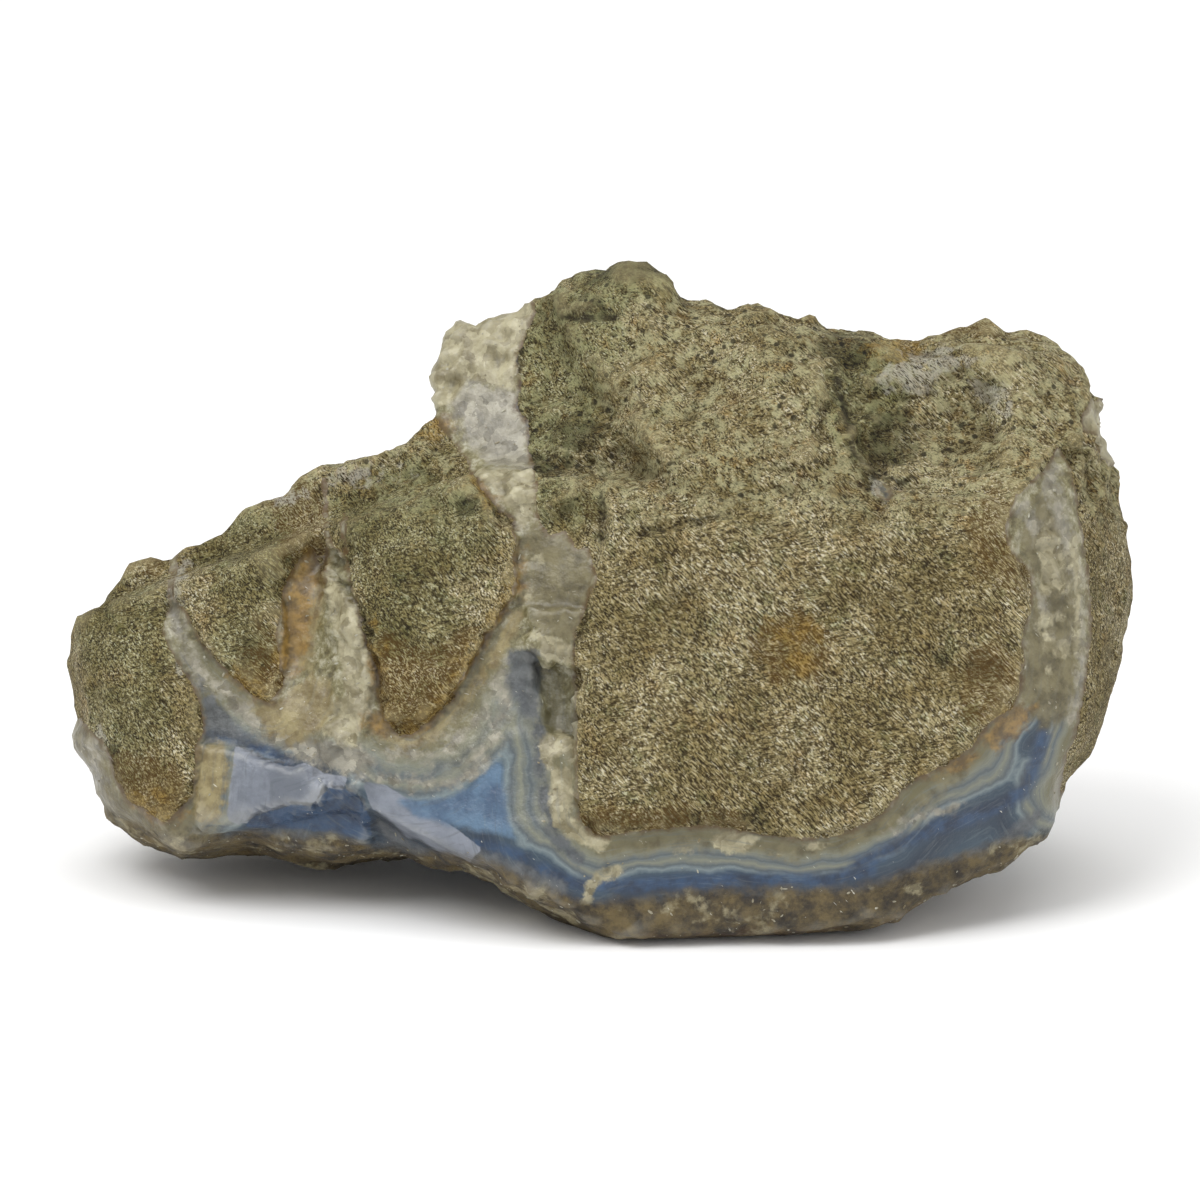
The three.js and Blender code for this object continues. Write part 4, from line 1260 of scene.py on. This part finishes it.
class Recipe(Graph):
    """A Geometry Nodes group with named inputs, which is run once and leaves a plain mesh."""

    def __init__(self, name: str, inputs: dict[str, float | int]) -> None:
        """Makes the group and its inputs.

        Args:
            name: the group's name.
            inputs: the named inputs with their values.
        """
        super().__init__(bpy.data.node_groups.new(name, "GeometryNodeTree"))
        self.inputs = inputs
        interface = self.tree.interface
        interface.new_socket("Geometry", in_out="INPUT", socket_type="NodeSocketGeometry")
        for title, value in inputs.items():
            kind = "NodeSocketInt" if isinstance(value, int) else "NodeSocketFloat"
            interface.new_socket(title, in_out="INPUT", socket_type=kind).default_value = value
        interface.new_socket("Geometry", in_out="OUTPUT", socket_type="NodeSocketGeometry")
        self.entry = self.tree.nodes.new("NodeGroupInput")
        position = self.node("GeometryNodeInputPosition")
        self.place = self.vector("SCALE", position, 1.0 / MM)

    def given(self, title: str) -> Wire:
        """Reads one of the named inputs."""
        return Wire(self, self.entry.outputs[title])

    def attribute(self, layer: Layer) -> Wire:
        """Reads one of the stone's attributes."""
        return self.node("GeometryNodeInputNamedAttribute", {"data_type": "FLOAT"}, {"Name": layer.value})

    def noise(self, size: Any, detail: float, seed: Any) -> Wire:
        """Smooth noise from about -0.5 to 0.5, with features of a size in millimetres."""
        values = {"Vector": self.place, "W": seed, "Scale": 1.0 / size, "Detail": detail}
        return self.node("ShaderNodeTexNoise", {"noise_dimensions": "4D"}, values) - 0.5

    def cells(self, size: Any, feature: str = "F1") -> Wire:
        """Distance in Voronoi cells of a size in millimetres."""
        values = {"Vector": self.place, "Scale": 1.0 / size}
        return self.node("ShaderNodeTexVoronoi", {"feature": feature}, values)

    def close(self, geometry: Wire, material: bpy.types.Material) -> None:
        """Realises instances, sets the material and ends the group."""
        realised = self.node("GeometryNodeRealizeInstances", values={"Geometry": geometry})
        values = {"Geometry": realised, "Material": material}
        dressed = self.node("GeometryNodeSetMaterial", values=values)
        exit_node = self.tree.nodes.new("NodeGroupOutput")
        self.tree.links.new(dressed.socket, exit_node.inputs[0])

    def run(self, piece: bpy.types.Object) -> bpy.types.Mesh:
        """Runs the group on a piece and returns the plain mesh that it makes."""
        modifier = piece.modifiers.new(self.tree.name, "NODES")
        modifier.node_group = self.tree
        for item in self.tree.interface.items_tree:
            if item.in_out == "INPUT" and item.name in self.inputs:
                modifier[item.identifier] = self.inputs[item.name]
        depsgraph = bpy.context.evaluated_depsgraph_get()
        made = bpy.data.meshes.new_from_object(
            piece.evaluated_get(depsgraph), preserve_all_data_layers=True, depsgraph=depsgraph
        )
        piece.modifiers.remove(modifier)
        return made


@dataclass(frozen=True)
class Weathering:
    """How the weather and the hammer have worked the surface; sizes and depths in millimetres."""

    inputs: tuple[tuple[str, float | int], ...] = (
        ("Facet Size", 9.0),
        ("Facet Tilt", 0.3),
        ("Chip Size", 3.2),
        ("Chip Tilt", 0.42),
        ("Lump Size", 4.0),
        ("Lump Depth", 1.1),
        ("Grain Size", 1.3),
        ("Grain Depth", 0.8),
        ("Pit Size", 3.0),
        ("Pit Depth", 0.8),
        ("Crystal Size", 3.4),
        ("Crystal Depth", 0.9),
        ("Foot", 2.0),
        ("Seed", 5),
    )
    foot_start: float = 0.05

    def recipe(self, material: bpy.types.Material) -> Recipe:
        """Builds the group that moves the surface along its normals."""
        made = Recipe("weathering", dict(self.inputs))
        seed = made.given("Seed")
        is_rock = made.attribute(Layer.WALL).between(0.6, -0.4)
        is_crust = made.attribute(Layer.CRUST).between(1.0, -1.0)
        is_cream = made.attribute(Layer.CREAM).between(0.5, -0.5)
        is_slope = made.attribute(Layer.SLOPE)
        bare = is_rock * (0.34 + is_slope * 0.66)
        rough = 0.2 + 0.8 * bare.at_least(is_crust * 0.6)
        facets = self._broken(made, made.given("Facet Size"), made.given("Facet Tilt"))
        chips = self._broken(made, made.given("Chip Size"), made.given("Chip Tilt"))
        lumps = made.noise(made.given("Lump Size"), 3.0, seed) * made.given("Lump Depth")
        grains = made.noise(made.given("Grain Size"), 2.0, seed + 3.0) * made.given("Grain Depth")
        where = made.noise(9.0, 2.0, seed + 7.0).between(-0.04, 0.1) * is_rock * (0.25 + is_slope)
        pits = made.cells(made.given("Pit Size")).between(0.4, 0.2) * made.given("Pit Depth") * where
        crystals = self._broken(made, made.given("Crystal Size"), made.given("Crystal Depth"))
        height = (facets + chips + lumps + grains) * rough - pits + crystals * (is_cream + is_crust * 0.25)
        up = made.node("ShaderNodeSeparateXYZ", values={"Vector": made.place}, output="Z")
        foot = up.between(self.foot_start, made.given("Foot"))
        normal = made.node("GeometryNodeInputNormal")
        evened = made.node(
            "GeometryNodeBlurAttribute",
            {"data_type": "FLOAT"},
            {"Value": height * foot * MM, "Iterations": 1, "Weight": 0.7},
        )
        offset = made.vector("SCALE", normal, evened)
        entry = Wire(made, made.entry.outputs["Geometry"])
        moved = made.node("GeometryNodeSetPosition", values={"Geometry": entry, "Offset": offset})
        made.close(moved, material)
        return made

    @staticmethod
    def _broken(made: Recipe, size: Wire, tilt: Wire) -> Wire:
        """Flat chips that each lean their own way, with small ledges between them.

        Args:
            made: the group.
            size: how wide the chips are, in millimetres.
            tilt: how far they lean.

        Returns:
            The height in millimetres.
        """
        warp = made.node(
            "ShaderNodeTexNoise", {"noise_dimensions": "3D"}, {"Vector": made.place, "Scale": 0.9 / size}, 1
        )
        middle = (0.5, 0.5, 0.5)
        spread = made.vector("SCALE", made.vector("SUBTRACT", warp, middle), 1.6)
        here = made.vector("ADD", made.vector("SCALE", made.place, 1.0 / size), spread)
        cell = made.node("ShaderNodeTexVoronoi", values={"Vector": here, "Scale": 1.0}, output="Position")
        colour = Wire(made, cell.socket.node.outputs["Color"])
        lean = made.vector("SUBTRACT", colour, middle)
        off = made.vector("SUBTRACT", here, cell)
        return made.vector("DOT_PRODUCT", off, lean, "Value") * size * tilt


def read_vertices(mesh: bpy.types.Mesh, name: str) -> Array:
    """Reads the places or normals of all vertices as rows of x, y and z."""
    numbers = np.zeros(len(mesh.vertices) * 3)
    mesh.vertices.foreach_get(name, numbers)
    return numbers.reshape(-1, 3)


def write_layer(mesh: bpy.types.Mesh, layer: Layer, numbers: Array) -> None:
    """Writes one number for every vertex."""
    attribute = mesh.attributes.new(layer.value, "FLOAT", "POINT")
    attribute.data.foreach_set("value", numbers.astype(np.float32))


@dataclass
class Stone:
    """The whole stone: its form drawn finely, with the face map on it; lengths in millimetres.

    Behind the rim the marks of the face bend, and they fade out as they go back.
    """

    form: StoneForm = field(default_factory=StoneForm)
    face_map: FaceMap = field(default_factory=FaceMap)
    finish: StoneFinish = field(default_factory=StoneFinish)
    weathering: Weathering = field(default_factory=Weathering)
    levels: int = 2
    merge_reach: float = 0.001
    settle_rounds: int = 5
    settle_share: float = 0.8
    settle_reach: float = 2.5
    flat_below: float = 0.05
    bend_depth: float = 30.0
    bend_reach: float = 5.0
    bend_size: float = 17.0
    fade_start: float = 6.0
    fade_rate: float = 0.8
    hollow_rounds: tuple[tuple[int, float], ...] = ((3, 1.2), (12, 0.8))

    def build(self) -> bpy.types.Object:
        """Makes the stone and dresses it.

        Returns:
            The finished piece.
        """
        piece = self._subdivided()
        self._settle(piece.data)
        self._mark(piece.data)
        plain = piece.data
        piece.data = self.weathering.recipe(self.finish.material()).run(piece)
        bpy.data.meshes.remove(plain)
        self._find_hollows(piece.data)
        for polygon in piece.data.polygons:
            polygon.use_smooth = True
        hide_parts(NODE)
        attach(piece, "root")
        LOG.info("%s: %d vertices, %d faces", piece.name, len(piece.data.vertices), len(piece.data.polygons))
        return piece

    def _subdivided(self) -> bpy.types.Object:
        """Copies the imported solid's mesh, merges its corners and subdivides it."""
        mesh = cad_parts[NODE].data.copy()
        work = bmesh.new()
        work.from_mesh(mesh)
        bmesh.ops.remove_doubles(work, verts=work.verts, dist=self.merge_reach * MM)
        work.to_mesh(mesh)
        work.free()
        rough = bpy.data.objects.new("rough_stone", mesh)
        bpy.context.scene.collection.objects.link(rough)
        finer = rough.modifiers.new("finer", "SUBSURF")
        finer.levels = self.levels
        finer.render_levels = self.levels
        depsgraph = bpy.context.evaluated_depsgraph_get()
        fine = bpy.data.meshes.new_from_object(rough.evaluated_get(depsgraph))
        bpy.data.objects.remove(rough)
        piece = bpy.data.objects.new("agate_stone", fine)
        bpy.context.scene.collection.objects.link(piece)
        return piece

    def _settle(self, mesh: bpy.types.Mesh) -> None:
        """Moves each vertex along its normal onto the stone's form."""
        places = read_vertices(mesh, "co")
        start = FACE.to_face(places)
        along = FACE.to_face(places + read_vertices(mesh, "normal") * MM) - start
        flat = places[:, 2] < self.flat_below * MM
        shift = np.zeros(len(places))
        for _ in range(self.settle_rounds):
            here = self.form.at(*(start + along * shift))
            shift = np.clip(shift - self.settle_share * here, -self.settle_reach, self.settle_reach)
        shift[flat] = 0.0
        mesh.vertices.foreach_set("co", FACE.to_row(*(start + along * shift)).ravel())
        mesh.update()

    def _mark(self, mesh: bpy.types.Mesh) -> None:
        """Writes the face map's attributes onto the mesh."""
        u, v, w = FACE.to_face(read_vertices(mesh, "co"))
        behind = np.maximum(self.form.rim_depth(u, v) - w, 0.0)
        bend = self.bend_reach * np.minimum(behind / self.bend_depth, 1.0)
        steps = (v / self.bend_size, w / self.bend_size)
        mapped_u = u + 0.16 * behind + bend * drift(u / self.bend_size, *steps)
        mapped_v = v - 0.1 * behind + bend * drift(u / self.bend_size + 40, *steps)
        fade = np.maximum(behind - self.fade_start, 0.0) * self.fade_rate
        face = self.face_map
        wall = nearest_of(face.rock, mapped_u, mapped_v)
        wall = np.maximum(wall, -nearest_of(face.pockets, u, v) - fade)
        edge = np.interp(mapped_u, *np.array(face.crust_edge).T)
        depth = np.maximum(blend_marks(face.core_depth, mapped_u, mapped_v, face.mark_blur), 1.0)
        cream = nearest_of(face.cream, u, v) + fade
        crust = mapped_v - edge
        blue = blend_marks(face.blue_reach, mapped_u, mapped_v, face.mark_blur)
        clear = smoothstep(wall, 0.2, 1.5)
        grit = np.maximum(smoothstep(-crust, -1.5, 1.0) * 0.6, smoothstep(-cream, -1.0, 0.5) * 0.6) * clear
        grit = np.maximum(grit, clear * (1.0 - smoothstep(blue, 0.3, 0.9)) * 0.5)
        grit = np.maximum(grit, clear * smoothstep(wall, 5.0, 2.0) * 0.4)
        values = {
            Layer.WALL: wall,
            Layer.CRUST: crust,
            Layer.BAND: np.maximum(wall, 0.0) / depth,
            Layer.BLUE: blue,
            Layer.SLOPE: smoothstep(v, 58.0, 68.0),
            Layer.GRIT: grit,
            Layer.CREAM: cream,
        }
        for layer, shapes in (
            (Layer.PALE, face.pale), (Layer.DEEP, face.deep), (Layer.SLATE, face.slate),
            (Layer.TAN, face.tan), (Layer.RUST, face.rust), (Layer.FROST, face.frost),
            (Layer.GLOW, face.glow), (Layer.CRACK_AND_SHADOW_LINE, face.cracks_and_shadow_lines), (Layer.RECESS, face.recess),
            (Layer.MOSS, face.moss), (Layer.BLEACHED, face.bleached),
        ):
            values[layer] = nearest_of(shapes, u, v) + fade
        for layer, shapes in (
            (Layer.STAIN, face.stain), (Layer.DARK, face.dark), (Layer.GREEN, face.green),
        ):
            values[layer] = nearest_of(shapes, mapped_u, mapped_v)
        for layer, numbers in values.items():
            write_layer(mesh, layer, numbers)

    def _find_hollows(self, mesh: bpy.types.Mesh) -> None:
        """Writes how far each vertex lies below the surface evened out around it, in millimetres."""
        count = len(mesh.vertices)
        places = read_vertices(mesh, "co") / MM
        normals = read_vertices(mesh, "normal")
        ends = np.zeros(len(mesh.edges) * 2, np.int64)
        mesh.edges.foreach_get("vertices", ends)
        first, second = ends.reshape(-1, 2).T
        links = np.bincount(ends, minlength=count)
        hollow = np.zeros(count)
        even = places.copy()
        for rounds, weight in self.hollow_rounds:
            for _ in range(rounds):
                even = np.stack([
                    (np.bincount(first, even[second, axis], count)
                     + np.bincount(second, even[first, axis], count)) / links
                    for axis in range(3)
                ], axis=-1)
            hollow += weight * ((even - places) * normals).sum(axis=1)
        write_layer(mesh, Layer.HOLLOW, hollow)


@dataclass
class QuartzGrains:
    """Broken quartz grains set in the crust, the creamy quartz and the edges of the seam."""

    stone: bpy.types.Object
    finish: ChipFinish = field(default_factory=ChipFinish)
    inputs: tuple[tuple[str, float | int], ...] = (
        ("Grains per Square Metre", 220000.0),
        ("Smallest", 0.1),
        ("Largest", 0.34),
        ("Seed", 11),
    )

    def build(self) -> bpy.types.Object:
        """Scatters the grains over the stone."""
        piece = bpy.data.objects.new("quartz_grains", self.stone.data.copy())
        bpy.context.scene.collection.objects.link(piece)
        whole = piece.data
        piece.data = self._recipe().run(piece)
        bpy.data.meshes.remove(whole)
        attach(piece, "root")
        LOG.info("%s: %d faces", piece.name, len(piece.data.polygons))
        return piece

    def _recipe(self) -> Recipe:
        """Builds the group that scatters the grains."""
        made = Recipe("quartz grains", dict(self.inputs))
        surface = Wire(made, made.entry.outputs["Geometry"])
        seed = made.given("Seed")
        up = made.node("ShaderNodeSeparateXYZ", values={"Vector": made.place}, output="Z")
        clumps = made.noise(4.0, 2.0, 2.0).between(-0.12, 0.14)
        share = made.attribute(Layer.GRIT) * clumps * up.between(1.0, 2.0)
        density = share * made.given("Grains per Square Metre")
        values = {"Mesh": surface, "Density": density, "Seed": seed}
        points = made.node("GeometryNodeDistributePointsOnFaces", values=values)
        turn = Wire(made, points.socket.node.outputs["Rotation"])
        spin = made.node(
            "FunctionNodeRandomValue",
            {"data_type": "FLOAT_VECTOR"},
            {"Min": (-0.5, -0.5, 0.0), "Max": (0.5, 0.5, 6.28), "Seed": seed},
        )
        turned = made.node(
            "FunctionNodeRotateRotation",
            {"rotation_space": "LOCAL"},
            {"Rotation": turn, "Rotate By": spin},
        )
        stretch = made.node(
            "FunctionNodeRandomValue",
            {"data_type": "FLOAT_VECTOR"},
            {"Min": (0.7, 0.3, 0.2), "Max": (2.4, 0.9, 0.6), "Seed": seed + 1.0},
        )
        size = made.node(
            "FunctionNodeRandomValue",
            {"data_type": "FLOAT"},
            {2: made.given("Smallest") * MM, 3: made.given("Largest") * MM, "Seed": seed + 2.0},
            output=1,
        )
        scale = made.vector("SCALE", stretch, size)
        grain = made.node("GeometryNodeMeshIcoSphere", values={"Radius": 1.0, "Subdivisions": 1})
        values = {"Points": points, "Instance": grain, "Rotation": turned, "Scale": scale}
        placed = made.node("GeometryNodeInstanceOnPoints", values=values)
        made.close(placed, self.finish.material())
        return made


@dataclass
class Studio:
    """The floor, the soft lights and the camera."""

    floor_half: float = 6.0
    floor_colour: Colour = (0.96, 0.96, 0.96)
    view_centre: Triple = (0.0, 51.0, 15.0)
    view_width: float = 180.0
    distance: float = 1.5
    sensor: float = 36.0

    def build(self) -> None:
        """Makes the stage round the stone."""
        self._floor()
        self._lights()
        self._camera()
        self._colours()

    def _floor(self) -> None:
        """Lays a plain pale floor."""
        half = self.floor_half
        corners = [(-half, -half, 0), (half, -half, 0), (half, half, 0), (-half, half, 0)]
        mesh = bpy.data.meshes.new("floor")
        mesh.from_pydata(corners, [], [(0, 1, 2, 3)])
        paper = bpy.data.materials.new("pale_floor")
        paper.use_nodes = True
        shader = paper.node_tree.nodes["Principled BSDF"]
        shader.inputs["Base Color"].default_value = (*self.floor_colour, 1.0)
        shader.inputs["Roughness"].default_value = 0.9
        mesh.materials.append(paper)
        floor = bpy.data.objects.new("floor", mesh)
        bpy.context.scene.collection.objects.link(floor)

    def _lights(self) -> None:
        """Hangs the soft lights."""
        world = bpy.data.worlds.new("studio")
        world.use_nodes = True
        sky = world.node_tree.nodes["Background"]
        sky.inputs["Color"].default_value = (1.0, 1.0, 1.0, 1.0)
        sky.inputs["Strength"].default_value = 0.66
        bpy.context.scene.world = world
        for name, place, size, power in (
            ("key", (-0.6, -0.7, 1.3), 1.0, 12.4),
            ("top", (0.15, -0.1, 1.5), 1.4, 8.4),
            ("fill", (0.9, -0.9, 0.6), 1.0, 3.0),
        ):
            lamp = bpy.data.lights.new(name, "AREA")
            lamp.shape = "DISK"
            lamp.size = size
            lamp.energy = power
            holder = bpy.data.objects.new(name, lamp)
            holder.location = place
            aim = Vector((0.0, 0.0, 0.04)) - Vector(place)
            holder.rotation_euler = aim.to_track_quat("-Z", "Y").to_euler()
            bpy.context.scene.collection.objects.link(holder)

    def _camera(self) -> None:
        """Stands the camera far off, square to the broken face."""
        lens = bpy.data.cameras.new("camera")
        lens.sensor_width = self.sensor
        lens.lens = self.sensor * self.distance / (self.view_width * MM)
        lens.clip_end = 30.0
        eye = bpy.data.objects.new("camera", lens)
        centre = Vector(FACE.to_row(*self.view_centre))
        eye.location = centre + FACE.direction(0.0, 0.0, 1.0) * self.distance
        eye.rotation_euler = (math.pi / 2.0 - FACE.lean, 0.0, 0.0)
        bpy.context.scene.collection.objects.link(eye)
        bpy.context.scene.camera = eye

    def _colours(self) -> None:
        """Shows colours plainly, as a product photograph does."""
        bpy.context.scene.view_settings.view_transform = "Standard"
        bpy.context.scene.view_settings.look = "None"


def main() -> None:
    """Builds the stone and the studio."""
    logging.basicConfig(level=logging.INFO)
    stone = Stone().build()
    QuartzGrains(stone).build()
    Studio().build()


if __name__ == "__main__":
    main()
